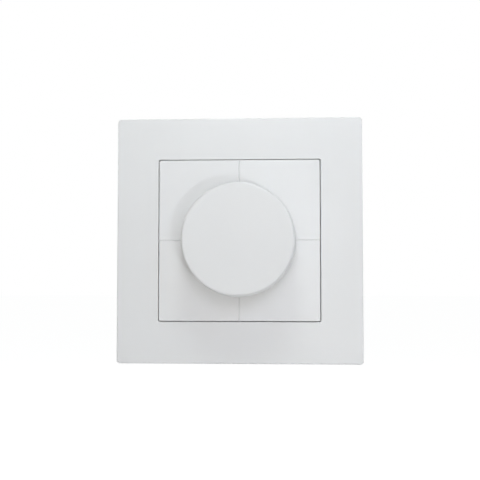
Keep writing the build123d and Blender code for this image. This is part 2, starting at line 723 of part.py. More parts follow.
def lug_and_bend():
    """One tongue of the ring, folded back along the top of the housing."""
    near = body_size / 2 + LUG_GAP
    far = near + RING_THICKNESS
    root = lug_root + BITE
    profile = Polyline(
        (near, -LUG_LENGTH), (far, -LUG_LENGTH), (far, 0), (root, 0),
        (root, ring_front), (near, ring_front), close=True,
    )
    face = make_face(profile)
    face = fillet(corner_at(face, far, 0), LUG_BEND_RADIUS)
    face = fillet(corner_at(face, near, ring_front), LUG_BEND_RADIUS + RING_THICKNESS)
    tongue = Pos(-LUG_WIDTH / 2, 0, 0) * extrude(Plane.YZ * face, amount=LUG_WIDTH)
    slot_low = -(NOSE_FRONT + NOSE_LENGTH + NOSE_GAP)
    half_slot = NOSE_WIDTH / 2 + NOSE_GAP
    return tongue - block((-half_slot, half_slot), (near - PAST, far + PAST), (slot_low, -NOSE_FRONT + NOSE_GAP))


def keyhole_slot():
    """A slot along the screw circle for levelling, with a round end that passes a screw head."""
    ends = [radians(90 - LEVEL_SLOT_ANGLE), radians(90 + LEVEL_SLOT_ANGLE)]
    arc = ThreePointArc(
        (slot_radius * cos(ends[0]), slot_radius * sin(ends[0])), (0, slot_radius),
        (slot_radius * cos(ends[1]), slot_radius * sin(ends[1])),
    )
    entry = radians(90 + KEYHOLE_ANGLE)
    hole = Pos(slot_radius * cos(entry), slot_radius * sin(entry)) * Circle(KEYHOLE_DIAMETER / 2)
    return SlotArc(arc, BOX_SLOT_WIDTH) + hole


def support_ring():
    plate = chamfer(Rectangle(RING_SIZE, RING_SIZE).vertices(), RING_CORNER_CUT)
    plate = fillet(plate.vertices(), RING_EDGE_RADIUS)
    plate -= square(window_size, BOSS_CORNER_RADIUS)
    plate -= Rectangle(LUG_WIDTH + 2 * LUG_RELIEF, 2 * lug_root)
    for side in (-1, 1):
        plate -= Pos(side * slot_radius, 0) * SlotOverall(BOX_SLOT_LENGTH, BOX_SLOT_WIDTH)
        plate -= Pos(side * RING_SIZE / 2, 0) * Circle(CENTRE_NOTCH_RADIUS)
        plate -= Pos(0, side * RING_SIZE / 2) * Circle(CENTRE_NOTCH_RADIUS)
    for turn in (0, 180):
        plate -= Rot(0, 0, turn) * keyhole_slot()
    ring = slab(plate, 0, ring_front)
    for turn in (0, 180):
        ring += Rot(0, 0, turn) * lug_and_bend()
    return ring


def body_outline(inset=0.0):
    """The insert's outline: a square with its corners cut by the wall box's bore."""
    side = body_size - 2 * inset
    outline = Rectangle(side, side) & Circle(BODY_BOX_RADIUS - inset)
    return fillet(outline.vertices(), max(BODY_CORNER_RADIUS - inset, BODY_INNER_RADIUS))


def pillar_places():
    return [(-pillar_x, 0), (pillar_x, 0)]


def housing_front():
    cap = slab(body_outline(), -CAP_DEPTH, 0)
    boss = slab(square(BOSS_SIZE, BOSS_CORNER_RADIUS), 0, BOSS_HEIGHT)
    boss = fillet(edges_at(boss, BOSS_HEIGHT), BOSS_EDGE_RADIUS)
    cap += boss
    cap += disc(collar_radius, BOSS_HEIGHT, seat_back)
    cap -= slab(body_outline(BODY_WALL), -CAP_DEPTH, -CAP_DEPTH + LIP_HEIGHT + LIP_GAP)
    inside = BOSS_SIZE - 2 * BODY_WALL
    cap -= slab(square(inside, BOSS_CORNER_RADIUS - BODY_WALL), -CAP_DEPTH, boss_roof)
    cap -= disc(collar_radius - COLLAR_WALL, boss_roof, seat_back - COLLAR_WALL)
    cap -= disc(thread_radius + THREAD_CLEARANCE, seat_back - COLLAR_WALL, seat_back)
    for place in pillar_places():
        cap += disc(PILLAR_RADIUS, -CAP_DEPTH, boss_roof, *place)
        cap -= disc(HOUSING_SCREW_RADIUS + THREAD_BITE_GAP, -CAP_DEPTH, screw_end + HOUSING_SCREW_END_GAP, *place)
    adjuster_hole = TRIMMER_HEAD_RADIUS + TRIMMER_HOLE_GAP
    rim_front = BOSS_HEIGHT + TRIMMER_RIM_HEIGHT
    cap += disc(adjuster_hole + TRIMMER_RIM_WALL, boss_roof, rim_front, *TRIMMER_PLACE)
    cap -= disc(adjuster_hole, boss_roof, rim_front, *TRIMMER_PLACE)
    vent = SlotOverall(FRONT_VENT_LENGTH, VENT_WIDTH)
    for side in (-1, 1):
        for row in range(FRONT_VENT_ROWS):
            y = side * (collar_radius + FRONT_VENT_GAP + row * FRONT_VENT_PITCH)
            cap -= slab(Pos(0, y) * vent, boss_roof, BOSS_HEIGHT)
    peg = disc(PEG_RADIUS, BOSS_HEIGHT, BOSS_HEIGHT + PEG_HEIGHT, peg_place, peg_place)
    peg = chamfer(edges_at(peg, BOSS_HEIGHT + PEG_HEIGHT), PEG_CHAMFER)
    return cap + four_ways(peg)


def catch_nose():
    """The wedge on the housing that snaps into the ring's tongue."""
    root = (body_size - BODY_WALL) / 2
    face = body_size / 2
    end = -NOSE_FRONT - NOSE_LENGTH
    profile = make_face(Polyline(
        (root, -NOSE_FRONT), (face, -NOSE_FRONT), (face + NOSE_PROUD, end + NOSE_FLAT),
        (face + NOSE_PROUD, end), (root, end), close=True,
    ))
    return Pos(-NOSE_WIDTH / 2, 0, 0) * extrude(Plane.YZ * profile, amount=NOSE_WIDTH)


def terminal_bay(gap):
    """The room in the housing that the terminal block fills."""
    return block((-BLOCK_HALF_WIDTH - gap, BLOCK_HALF_WIDTH + gap),
                 (-body_size / 2 - PAST, block_top + gap), (body_back - PAST, -BLOCK_FRONT + gap))


def standoff_places():
    return [(x * STANDOFF_X, y * STANDOFF_Y) for x in (-1, 1) for y in (-1, 1)]


def housing_back():
    depth = -CAP_DEPTH - body_back
    rim = Rot(180, 0, 0) * body_outline()
    shell = Pos(0, 0, -CAP_DEPTH) * extrude(rim, amount=depth, taper=BODY_DRAFT)
    shell = fillet(edges_at(shell, body_back), BODY_EDGE_RADIUS)
    gauge = Pos(*STRIP_GAUGE_PLACE) * SlotOverall(STRIP_GAUGE_LENGTH, STRIP_GAUGE_WIDTH)
    shell -= slab(gauge, body_back, body_back + STRIP_GAUGE_DEPTH)
    inner = Rot(180, 0, 0) * body_outline(BODY_WALL)
    shell -= Pos(0, 0, -CAP_DEPTH) * extrude(inner, amount=depth - BODY_WALL, taper=BODY_DRAFT)
    lip_inside = body_outline(BODY_WALL + LIP_GAP + LIP_WALL)
    shell += slab(body_outline(BODY_WALL + LIP_GAP) - lip_inside, -CAP_DEPTH - LIP_HEIGHT, -CAP_DEPTH + LIP_HEIGHT)
    shell += slab(body_outline(BODY_WALL / 2) - lip_inside, -CAP_DEPTH - LIP_HEIGHT, -CAP_DEPTH)
    for place in pillar_places():
        shell += disc(PILLAR_RADIUS, body_floor, -CAP_DEPTH, *place)
        shell -= disc(HOUSING_SCREW_RADIUS + HOUSING_SCREW_GAP, body_back, -CAP_DEPTH, *place)
        head_radius = HOUSING_SCREW_HEAD_RADIUS + HOUSING_SCREW_GAP
        shell -= disc(head_radius, body_back, body_back + HOUSING_SCREW_HEAD, *place)
    for place in standoff_places():
        shell += disc(STANDOFF_RADIUS, body_floor, board_back, *place)
    shell -= terminal_bay(BLOCK_GAP)
    for side in (-1, 1):
        middle = side * (BLOCK_HALF_WIDTH + BLOCK_GAP + BLOCK_RIB_REACH / 2)
        shell += block((middle - BLOCK_RIB_REACH / 2, middle + BLOCK_RIB_REACH / 2),
                       (rib_foot - BLOCK_GAP - GUIDE_WIDTH, rib_foot - BLOCK_GAP),
                       (body_floor - BITE, body_floor + GUIDE_HEIGHT))
    first = -(BACK_VENTS - 1) / 2
    for i in range(BACK_VENTS):
        vent = Rot(0, 0, 90) * SlotOverall(BACK_VENT_LENGTH, VENT_WIDTH)
        shell -= slab(Pos((first + i) * BACK_VENT_PITCH, SPREADER_Y) * vent, body_back, body_floor)
    shell += [Rot(0, 0, turn) * catch_nose() for turn in (0, 180)]
    return shell


def housing_screws():
    screws = []
    for place in pillar_places():
        head = disc(HOUSING_SCREW_HEAD_RADIUS, body_back, body_back + HOUSING_SCREW_HEAD, *place)
        head = fillet(edges_at(head, body_back), HOUSING_SCREW_EDGE)
        screw = head + disc(HOUSING_SCREW_RADIUS, body_back + HOUSING_SCREW_HEAD / 2, screw_end, *place)
        for turn in (0, 90):
            drive = Rot(0, 0, turn) * Rectangle(CROSS_SLOT_LENGTH, CROSS_SLOT_WIDTH)
            screw -= slab(Pos(*place) * drive, body_back, body_back + CROSS_SLOT_DEPTH)
        screws.append(screw)
    return screws


def circuit_board():
    board = slab(body_outline(BODY_WALL + BOARD_GAP), board_back, board_front)
    bay = BLOCK_HALF_WIDTH + BLOCK_RIB_REACH + BOARD_GAP
    board -= block((-bay, bay), (-body_size / 2, block_top + BLOCK_GAP), (board_back, board_front))
    board -= [disc(PILLAR_RADIUS + BOARD_PILLAR_GAP, board_back, board_front, *p) for p in pillar_places()]
    board -= [pin_at(place, board_back, board_front) for place in pin_places() + contact_places()]
    return board - [lead_at(place, board_back, board_front) for place in lead_places()]


def lead_at(place, low, high):
    """One wire lead of a component, square where the pliers formed it."""
    return slab(Pos(*place) * Rectangle(LEAD_SIDE, LEAD_SIDE), low, high)


def pair_of_leads(place, span, turn=0.0):
    """The two places where a component's leads pass through the board."""
    x, y = place
    dx, dy = span / 2 * cos(radians(turn)), span / 2 * sin(radians(turn))
    return [(x - dx, y - dy), (x + dx, y + dy)]


def lead_places():
    """Every place where a lead passes through the board."""
    return (
        pair_of_leads(CHOKE_PLACE, CHOKE_LEAD_SPAN, CHOKE_LEAD_TURN)
        + pair_of_leads(FILM_CAPACITOR_PLACE, FILM_CAPACITOR_LEAD_SPAN)
        + pair_of_leads(STORAGE_CAPACITOR_PLACE, STORAGE_CAPACITOR_LEAD_SPAN, 90)
        + pair_of_leads(FUSE_PLACE, FUSE_LEAD_SPAN, 90)
        + pair_of_leads(TRIMMER_PLACE, TRIMMER_LEAD_SPAN, 90)
        + transistor_lead_places()
    )


def on_leads(body, places):
    """A component's body with its leads, down through the board."""
    return body + [lead_at(place, board_back - LEAD_BELOW_BOARD, board_front) for place in places]


def choke_core():
    low = board_front + CHOKE_WIRE
    ring = slab(Circle(CHOKE_CORE_DIAMETER / 2) - Circle(CHOKE_CORE_BORE / 2), low, low + CHOKE_CORE_HEIGHT)
    return Pos(*CHOKE_PLACE) * fillet(ring.edges().filter_by(GeomType.CIRCLE), CHOKE_CORE_EDGE)


def choke_winding():
    """The coil round the core, as one closed wrap whose grooves mark the turns."""
    low = board_front
    high = low + CHOKE_CORE_HEIGHT + 2 * CHOKE_WIRE
    outer = CHOKE_CORE_DIAMETER / 2 + CHOKE_WIRE
    inner = CHOKE_CORE_BORE / 2 - CHOKE_WIRE
    wrap = slab(Circle(outer) - Circle(inner), low, high)
    wrap = fillet(wrap.edges().filter_by(GeomType.CIRCLE), CHOKE_WIRE)
    mouth = outer + BITE
    notch = make_face(Polyline(
        (-CHOKE_NOTCH_WIDTH / 2, mouth), (0, outer - CHOKE_NOTCH_DEPTH), (CHOKE_NOTCH_WIDTH / 2, mouth),
        close=True))
    groove = extrude(Plane.XY * notch, amount=high - low)
    for turn in range(CHOKE_TURNS):
        wrap -= Rot(0, 0, 360 * turn / CHOKE_TURNS) * Pos(0, 0, low) * groove
    wrap = Pos(*CHOKE_PLACE) * wrap - choke_core()
    return on_leads(wrap, pair_of_leads(CHOKE_PLACE, CHOKE_LEAD_SPAN, CHOKE_LEAD_TURN))


def film_capacitor():
    x, y = FILM_CAPACITOR_PLACE
    length, width, height = FILM_CAPACITOR_SIZE
    case = slab(Pos(x, y) * Rectangle(length, width), board_front, board_front + height)
    case = fillet(case.edges().filter_by(Axis.Z), FILM_CAPACITOR_EDGE)
    return on_leads(case, pair_of_leads(FILM_CAPACITOR_PLACE, FILM_CAPACITOR_LEAD_SPAN))


def storage_capacitor():
    radius = STORAGE_CAPACITOR_DIAMETER / 2
    top = board_front + STORAGE_CAPACITOR_HEIGHT
    crimp = board_front + CAN_CRIMP_PLACE
    can = turned([
        (0, board_front), (radius - CAN_EDGE, board_front), (radius, board_front + CAN_EDGE),
        (radius, crimp - CAN_CRIMP_DEPTH), (radius - CAN_CRIMP_DEPTH, crimp), (radius, crimp + CAN_CRIMP_DEPTH),
        (radius, top - CAN_EDGE), (radius - CAN_EDGE, top), (0, top),
    ])
    for turn in (45, 135):
        score = Rot(0, 0, turn) * Rectangle(CAN_SCORE_LENGTH, CAN_SCORE_WIDTH)
        can -= slab(score, top - CAN_SCORE_DEPTH, top)
    can = Pos(*STORAGE_CAPACITOR_PLACE) * can
    return on_leads(can, pair_of_leads(STORAGE_CAPACITOR_PLACE, STORAGE_CAPACITOR_LEAD_SPAN, 90))


def fuse():
    case = disc(FUSE_DIAMETER / 2, board_front, board_front + FUSE_HEIGHT)
    case = Pos(*FUSE_PLACE) * fillet(edges_at(case, board_front + FUSE_HEIGHT), FUSE_EDGE)
    return on_leads(case, pair_of_leads(FUSE_PLACE, FUSE_LEAD_SPAN, 90))


def trimmer_body():
    x, y = TRIMMER_PLACE
    case = slab(Pos(x, y) * Rectangle(TRIMMER_SIZE, TRIMMER_SIZE), board_front, board_front + TRIMMER_HEIGHT)
    case -= disc(TRIMMER_FOOT_RADIUS + CONTACT_GAP, board_front + TRIMMER_FLOOR, board_front + TRIMMER_HEIGHT, x, y)
    return on_leads(case, pair_of_leads(TRIMMER_PLACE, TRIMMER_LEAD_SPAN, 90))


def trimmer_spindle():
    """The adjuster for the lowest light level, turned with a screwdriver under the plate."""
    top = BOSS_HEIGHT - TRIMMER_RECESS
    foot = disc(TRIMMER_FOOT_RADIUS, board_front + TRIMMER_FLOOR + CONTACT_GAP, board_front + TRIMMER_HEIGHT)
    stem = disc(TRIMMER_STEM_RADIUS, board_front + TRIMMER_HEIGHT, top - TRIMMER_HEAD)
    head = disc(TRIMMER_HEAD_RADIUS, top - TRIMMER_HEAD, top)
    spindle = foot + stem + chamfer(edges_at(head, top), TRIMMER_HEAD_CHAMFER)
    spindle -= block((-TRIMMER_HEAD_RADIUS, TRIMMER_HEAD_RADIUS),
                     (-TRIMMER_SLOT_WIDTH / 2, TRIMMER_SLOT_WIDTH / 2), (top - TRIMMER_SLOT_DEPTH, top))
    return Pos(*TRIMMER_PLACE) * spindle


def transistor_lead_places():
    """Three leads in a row beside the foot of each power transistor."""
    y = TRANSISTOR_Y - TRANSISTOR_SIZE[1] / 2 - TRANSISTOR_LEAD_REACH
    return [(side * TRANSISTOR_SPACING / 2 + i * TRANSISTOR_LEAD_PITCH, y) for side in (-1, 1) for i in (-1, 0, 1)]


def transistor_lead(place):
    """A flat lead that leaves the case level and turns up through the board."""
    x, y = place
    sides = (x - TRANSISTOR_LEAD_WIDTH / 2, x + TRANSISTOR_LEAD_WIDTH / 2)
    level = pad_front + TRANSISTOR_LEAD_HEIGHT
    foot = block(sides, (y - LEAD_SIDE / 2, TRANSISTOR_Y - TRANSISTOR_SIZE[1] / 2),
                 (level - TRANSISTOR_LEAD_THICKNESS, level))
    return foot + lead_at(place, level - TRANSISTOR_LEAD_THICKNESS, board_front)


def power_transistors():
    length, width, height = TRANSISTOR_SIZE
    tab_length, tab_height = TRANSISTOR_TAB
    tab_y = TRANSISTOR_Y + (width + tab_length) / 2
    parts = []
    for side in (-1, 1):
        x = side * TRANSISTOR_SPACING / 2
        case = slab(Pos(x, TRANSISTOR_Y) * Rectangle(length, width), pad_front, pad_front + height)
        case = chamfer(edges_at(case, pad_front + height), TRANSISTOR_EDGE)
        case += slab(Pos(x, tab_y) * Rectangle(length, tab_length), pad_front, pad_front + tab_height)
        parts.append(case + [transistor_lead(p) for p in transistor_lead_places() if p[0] * side > 0])
    return parts


def thermal_pad():
    length = TRANSISTOR_SPACING + TRANSISTOR_SIZE[0]
    width = TRANSISTOR_SIZE[1] + TRANSISTOR_TAB[0]
    outline = Pos(0, TRANSISTOR_Y + TRANSISTOR_TAB[0] / 2) * Rectangle(length, width)
    return slab(outline, spreader_front, pad_front)


def heat_spreader():
    outline = Pos(0, SPREADER_Y) * RectangleRounded(*SPREADER_SIZE, 1.5)
    return slab(outline, body_floor, spreader_front)


def controller_chip():
    x, y = CHIP_PLACE
    length, width, height = CHIP_SIZE
    case = slab(Pos(x, y) * Rectangle(length, width), board_back - height, board_back - CHIP_STANDOFF)
    lead = Rectangle(CHIP_LEAD_WIDTH, width + 2 * CHIP_LEAD_REACH)
    for i in range(CHIP_LEADS):
        lead_x = x + CHIP_LEAD_PITCH * (i - (CHIP_LEADS - 1) / 2)
        case += slab(Pos(lead_x, y) * lead, board_back - CHIP_LEAD_THICKNESS, board_back)
    return case


def bridge_rectifier():
    x, y = RECTIFIER_PLACE
    length, width, height = RECTIFIER_SIZE
    case = slab(Pos(x, y) * Rectangle(length, width), board_back - height, board_back)
    return chamfer(edges_at(case, board_back - height), RECTIFIER_EDGE)


def surface_parts():
    """Small resistors and capacitors on the back of the board."""
    length, width, height = SURFACE_PART_SIZE
    chip = slab(Rectangle(length, width), board_back - height, board_back)
    return [Pos(x, y, 0) * chip for x in SURFACE_PART_COLUMNS for y in SURFACE_PART_ROWS]


def along_y(shape, x, z):
    """A shape drawn about the z axis, laid so that it runs up the wall at one pole."""
    return Pos(x, 0, z) * Rot(-90, 0, 0) * shape


def terminal_block():
    body = block((-BLOCK_HALF_WIDTH, BLOCK_HALF_WIDTH), (block_foot, block_top), (body_back, -BLOCK_FRONT))
    body = fillet(body.edges().filter_by(Axis.Z), BLOCK_EDGE_RADIUS)
    reach = BLOCK_HALF_WIDTH + BLOCK_RIB_REACH
    body += block((-reach, reach), (rib_foot, rib_foot + BLOCK_RIB_WIDTH), (body_floor, -BLOCK_FRONT))
    half = CLAMP_WIDTH / 2 + CLAMP_CLEARANCE
    for x in pole_places:
        body -= block((x - half, x + half), (chamber_foot, clamp_top + CLAMP_CLEARANCE),
                      (chamber_back, chamber_front))
        body -= along_y(disc(TERMINAL_HEAD_RADIUS + BUSBAR_SIDE_GAP, block_foot, head_top), x, pole_z)
        body -= along_y(disc(TERMINAL_SCREW_RADIUS + BUSBAR_SIDE_GAP, head_top, chamber_foot), x, pole_z)
        body -= disc(WIRE_HOLE_RADIUS, body_back, chamber_back, x, wire_y)
        body -= disc(WIRE_HOLE_RADIUS, chamber_front, chamber_front + WIRE_STOP_DEPTH, x, wire_y)
        funnel = turned([(0, body_back), (WIRE_HOLE_RADIUS + WIRE_FUNNEL, body_back),
                         (WIRE_HOLE_RADIUS, body_back + WIRE_FUNNEL), (0, body_back + WIRE_FUNNEL)])
        body -= Pos(x, wire_y, 0) * funnel
        body -= busbar(x)
    return body


def busbar(x):
    """The fixed contact strip of one pole, bent to lie on the circuit board."""
    half = CLAMP_WIDTH / 2 - CLAMP_SIDE - BUSBAR_SIDE_GAP
    low, top = chamber_back + BUSBAR_END_GAP, board_front + BUSBAR_THICKNESS
    profile = make_face(Polyline(
        (busbar_foot, low), (busbar_top, low), (busbar_top, board_front), (block_top + BUSBAR_FOOT, board_front),
        (block_top + BUSBAR_FOOT, top), (busbar_foot, top), close=True,
    ))
    return Pos(x - half, 0, 0) * extrude(Plane.YZ * profile, amount=2 * half)


def busbars():
    return [busbar(x) for x in pole_places]


def terminal_clamp(x):
    """The cage that rises round the busbar and pulls the wire against it."""
    half = CLAMP_WIDTH / 2
    depth = (pole_z - CLAMP_DEPTH / 2, pole_z + CLAMP_DEPTH / 2)
    cage = block((x - half, x + half), (clamp_foot, clamp_top), depth)
    cage = fillet(cage.edges().filter_by(Axis.Z), CLAMP_CORNER_RADIUS)
    cage -= block((x - half + CLAMP_SIDE, x + half - CLAMP_SIDE), (window_foot, window_top), depth)
    cage -= along_y(disc(TERMINAL_SCREW_RADIUS + RUNNING_CLEARANCE, clamp_foot, window_foot), x, pole_z)
    tooth = Plane.YZ * make_face(Polyline(
        (window_top, -CLAMP_TOOTH_DEPTH), (window_top + CLAMP_TOOTH_DEPTH, 0), (window_top, CLAMP_TOOTH_DEPTH),
        close=True))
    width = 2 * (half - CLAMP_SIDE)
    for row in (-1, 0, 1):
        cage -= Pos(x - width / 2, 0, pole_z + CLAMP_TOOTH_PITCH * row) * extrude(tooth, amount=width)
    return cage


def terminal_screw(x):
    tip = busbar_foot - CONTACT_GAP
    shank = disc(TERMINAL_SCREW_RADIUS, head_top, tip)
    shank = chamfer(edges_at(shank, tip), TERMINAL_TIP_CHAMFER)
    head = disc(TERMINAL_HEAD_RADIUS, head_foot, head_top)
    head = fillet(edges_at(head, head_foot), TERMINAL_HEAD_EDGE)
    screw = head + shank
    screw -= block((-TERMINAL_HEAD_RADIUS, TERMINAL_HEAD_RADIUS),
                   (-TERMINAL_SLOT_WIDTH / 2, TERMINAL_SLOT_WIDTH / 2),
                   (head_foot, head_foot + TERMINAL_SLOT_DEPTH))
    return along_y(screw, x, pole_z)


def pieces():
    """Every piece of the dimmer by the name of its node."""
    made = {
        "cover_frame": cover_frame(),
        "centre_plate": centre_plate(),
        "knob": knob(),
        "knob_clamp_ring": knob_clamp_ring(),
        "collar_nut": collar_nut(),
        "collar_washer": collar_washer(),
        "pot_bushing": pot_bushing(),
        "pot_shaft": pot_shaft(),
        "shaft_clip": shaft_clip(),
        "pot_housing": pot_housing(),
        "pot_pins": pot_pins(),
        "track_board": track_board(),
        "wiper_rotor": wiper_rotor(),
        "wiper_contact": wiper_contact(),
        "switch_housing": switch_housing(),
        "switch_base": switch_base(),
        "switch_contacts": switch_contacts(),
        "switch_plunger": switch_plunger(),
        "contact_bridge": contact_bridge(),
        "return_spring": return_spring(),
        "support_ring": support_ring(),
        "housing_front": housing_front(),
        "housing_back": housing_back(),
        "housing_screws": housing_screws(),
        "circuit_board": circuit_board(),
        "choke_core": choke_core(),
        "choke_winding": choke_winding(),
        "film_capacitor": film_capacitor(),
        "storage_capacitor": storage_capacitor(),
        "fuse": fuse(),
        "trimmer_body": trimmer_body(),
        "trimmer_spindle": trimmer_spindle(),
        "power_transistors": power_transistors(),
        "thermal_pad": thermal_pad(),
        "heat_spreader": heat_spreader(),
        "controller_chip": controller_chip(),
        "bridge_rectifier": bridge_rectifier(),
        "surface_parts": surface_parts(),
        "terminal_block": terminal_block(),
        "busbars": busbars(),
    }
    for number, x in enumerate(pole_places, start=1):
        made[f"terminal_clamp_{number}"] = terminal_clamp(x)
        made[f"terminal_screw_{number}"] = terminal_screw(x)
    return made


def on_the_wall(shape):
    """Turns a piece from the bench so that its front faces -Y and +Z is up."""
    solids = shape if isinstance(shape, list) else shape.solids()
    return Compound(children=[Plane.XZ.location * s for solid in solids for s in solid.solids()])


os.makedirs("parts", exist_ok=True)
for name, piece in pieces().items():
    export_step(on_the_wall(piece), f"parts/{name}.step")
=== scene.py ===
import json
from math import atan2, cos, pi, radians, sin

import bmesh
import bpy
from mathutils import Matrix, Vector

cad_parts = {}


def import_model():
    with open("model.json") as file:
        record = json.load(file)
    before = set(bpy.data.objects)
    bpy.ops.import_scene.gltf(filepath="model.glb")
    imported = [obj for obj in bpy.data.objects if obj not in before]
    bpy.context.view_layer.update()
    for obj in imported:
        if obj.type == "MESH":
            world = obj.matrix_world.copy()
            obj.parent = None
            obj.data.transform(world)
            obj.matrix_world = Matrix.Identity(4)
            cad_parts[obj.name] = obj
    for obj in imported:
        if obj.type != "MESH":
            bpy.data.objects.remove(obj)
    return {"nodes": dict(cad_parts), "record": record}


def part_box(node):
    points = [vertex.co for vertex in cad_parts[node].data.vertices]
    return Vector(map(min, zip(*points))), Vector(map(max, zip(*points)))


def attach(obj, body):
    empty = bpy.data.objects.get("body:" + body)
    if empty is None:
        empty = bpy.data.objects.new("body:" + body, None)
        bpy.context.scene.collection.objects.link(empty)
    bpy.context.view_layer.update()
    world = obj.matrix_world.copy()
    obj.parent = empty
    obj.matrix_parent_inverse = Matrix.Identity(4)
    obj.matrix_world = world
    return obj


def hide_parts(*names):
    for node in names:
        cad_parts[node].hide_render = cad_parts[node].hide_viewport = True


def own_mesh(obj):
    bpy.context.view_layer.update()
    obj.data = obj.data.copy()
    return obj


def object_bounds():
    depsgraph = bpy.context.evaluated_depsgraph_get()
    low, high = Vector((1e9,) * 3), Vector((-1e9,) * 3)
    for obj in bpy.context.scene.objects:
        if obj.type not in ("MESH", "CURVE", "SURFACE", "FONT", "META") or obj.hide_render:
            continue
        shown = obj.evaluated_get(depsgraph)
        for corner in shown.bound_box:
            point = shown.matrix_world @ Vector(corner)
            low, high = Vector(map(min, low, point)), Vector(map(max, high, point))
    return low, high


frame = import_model()
cad_low, cad_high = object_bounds()

# Lengths are in metres. The switch stands as it does on a wall: its front faces -Y and Z is up.
MM = 0.001
FULL_TURN = 2 * pi
scene = bpy.context.scene
nodes_by_name = frame["nodes"]

# Camera, as the photograph was taken: a little right of the knob's axis and a little below it
PLATE_FRONT_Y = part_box("centre_plate")[0].y
CAMERA_DISTANCE = 0.2492
CAMERA_RIGHT = 0.0120
CAMERA_DROP = 0.0113
CAMERA_TURN = radians(2.69)
CAMERA_TILT = radians(2.61)
CAMERA_LENS = 54.94
SENSOR_WIDTH = 36.0
NEAREST_SEEN = 0.01
FARTHEST_SEEN = 20.0

# Light
SKY_STRENGTH = 0.28
SKY_COLOUR = (0.99, 1.0, 1.0)
WHITE_LIGHT = (1.0, 1.0, 1.0)
# For each lamp: its distance from the plate, degrees off the plate's axis, degrees round that axis
# (0 is right and 90 is above), the width of its disc, its power and its colour
LAMPS = {
    "camera lamp": (1.00, 4.0, 317.0, 0.060, 0.880, (1.0, 0.90, 0.79)),
    "upper softbox": (0.30, 24.0, 80.0, 0.120, 0.163, (0.90, 0.91, 1.0)),
    "top softbox": (0.25, 64.0, 90.0, 0.075, 0.185, (0.95, 1.0, 0.96)),
    "upper right softbox": (0.60, 56.0, 45.0, 0.210, 0.300, (0.63, 0.79, 1.0)),
    "lower right spot": (0.40, 27.0, 322.0, 0.012, 0.195, (0.95, 0.97, 1.0)),
    "rear left softbox": (0.80, 125.0, 162.0, 0.300, 1.700, WHITE_LIGHT),
    "rear right softbox": (0.80, 122.0, 18.0, 0.300, 1.700, WHITE_LIGHT),
}

# Floor: it lies this far below the cover, and glows from NEAR to FAR between two distances from its middle
FLOOR_DROP = 0.16
FLOOR_HALF = 6.0
FLOOR_SHADE = (0.9, 0.9, 0.9, 1.0)
FLOOR_ROUGHNESS = 0.9
FLOOR_GLOW = (0.38, 0.74)
GLOW_DISTANCES = (0.15, 0.38)


# Shader helpers

def add_socket(tree, name, kind, way, default=None):
    """One named input or output of a shader group."""
    socket = tree.interface.new_socket(name=name, in_out=way, socket_type="NodeSocket" + kind)
    if default is not None:
        socket.default_value = default


def new_group(name, inputs, outputs):
    """An empty shader group with its sockets, ready for its nodes."""
    tree = bpy.data.node_groups.new(name, "ShaderNodeTree")
    for socket_name, kind, default in inputs:
        add_socket(tree, socket_name, kind, "INPUT", default)
    for socket_name, kind in outputs:
        add_socket(tree, socket_name, kind, "OUTPUT")
    return tree, tree.nodes.new("NodeGroupInput").outputs, tree.nodes.new("NodeGroupOutput").inputs


def feed(tree, socket, value):
    """Gives an input a link from another node, or a value of its own."""
    if isinstance(value, bpy.types.NodeSocket):
        tree.links.new(value, socket)
    else:
        socket.default_value = value


def put(tree, kind, settings=(), **values):
    """Adds a node, sets its options and feeds its inputs. An input goes by its label, with _ for a
    space, or by its number, such as i0."""
    node = tree.nodes.new(kind)
    for key, value in dict(settings).items():
        setattr(node, key, value)
    for key, value in values.items():
        numbered = key[0] == "i" and key[1:].isdigit()
        feed(tree, node.inputs[int(key[1:]) if numbered else key.replace("_", " ")], value)
    return node


def use_group(tree, group, **values):
    """Places a shader group in a material, with the material's own values."""
    node = tree.nodes.new("ShaderNodeGroup")
    node.node_tree = group
    for key, value in values.items():
        feed(tree, node.inputs[key.replace("_", " ")], value)
    return node.outputs


def maths(tree, operation, first, second=0.0, clamp=False):
    """One sum of two numbers."""
    settings = {"operation": operation, "use_clamp": clamp}
    return put(tree, "ShaderNodeMath", settings, i0=first, i1=second).outputs[0]


def spread(tree, value, old, new):
    """Stretches a number from one range to another, and clamps it there."""
    return put(tree, "ShaderNodeMapRange", i0=value, i1=old[0], i2=old[1], i3=new[0], i4=new[1]).outputs[0]


def mix_colours(tree, share, first, second):
    """The first colour, with a share of the second."""
    settings = {"data_type": "RGBA"}
    return put(tree, "ShaderNodeMix", settings, i0=share, i6=first, i7=second).outputs[2]


def tint(tree, colour, amount):
    """A colour made lighter or darker by a factor around one."""
    return put(tree, "ShaderNodeVectorMath", {"operation": "SCALE"}, i0=colour, Scale=amount).outputs[0]


def object_place(tree):
    """Where on the object a point lies."""
    return put(tree, "ShaderNodeTexCoord").outputs["Object"]


def noise(tree, place, scale, detail, roughness, distortion=0.0):
    """Cloudy noise between none and one."""
    return put(tree, "ShaderNodeTexNoise", Vector=place, Scale=scale, Detail=detail, Roughness=roughness,
               Distortion=distortion).outputs[0]


def opaque(rgb):
    """A colour with its alpha."""
    return (*rgb, 1.0)


# Effects that several materials share. Their sockets for sizes and reaches are in millimetres

NONE_TO_ONE = (0.0, 1.0)
BOTH_WAYS = (-1.0, 1.0)
NOISE_BAND = (0.3, 0.7)

BROAD_PATCHES = 45.0
FLOW_STRETCH = (18.0, 18.0, 70.0)


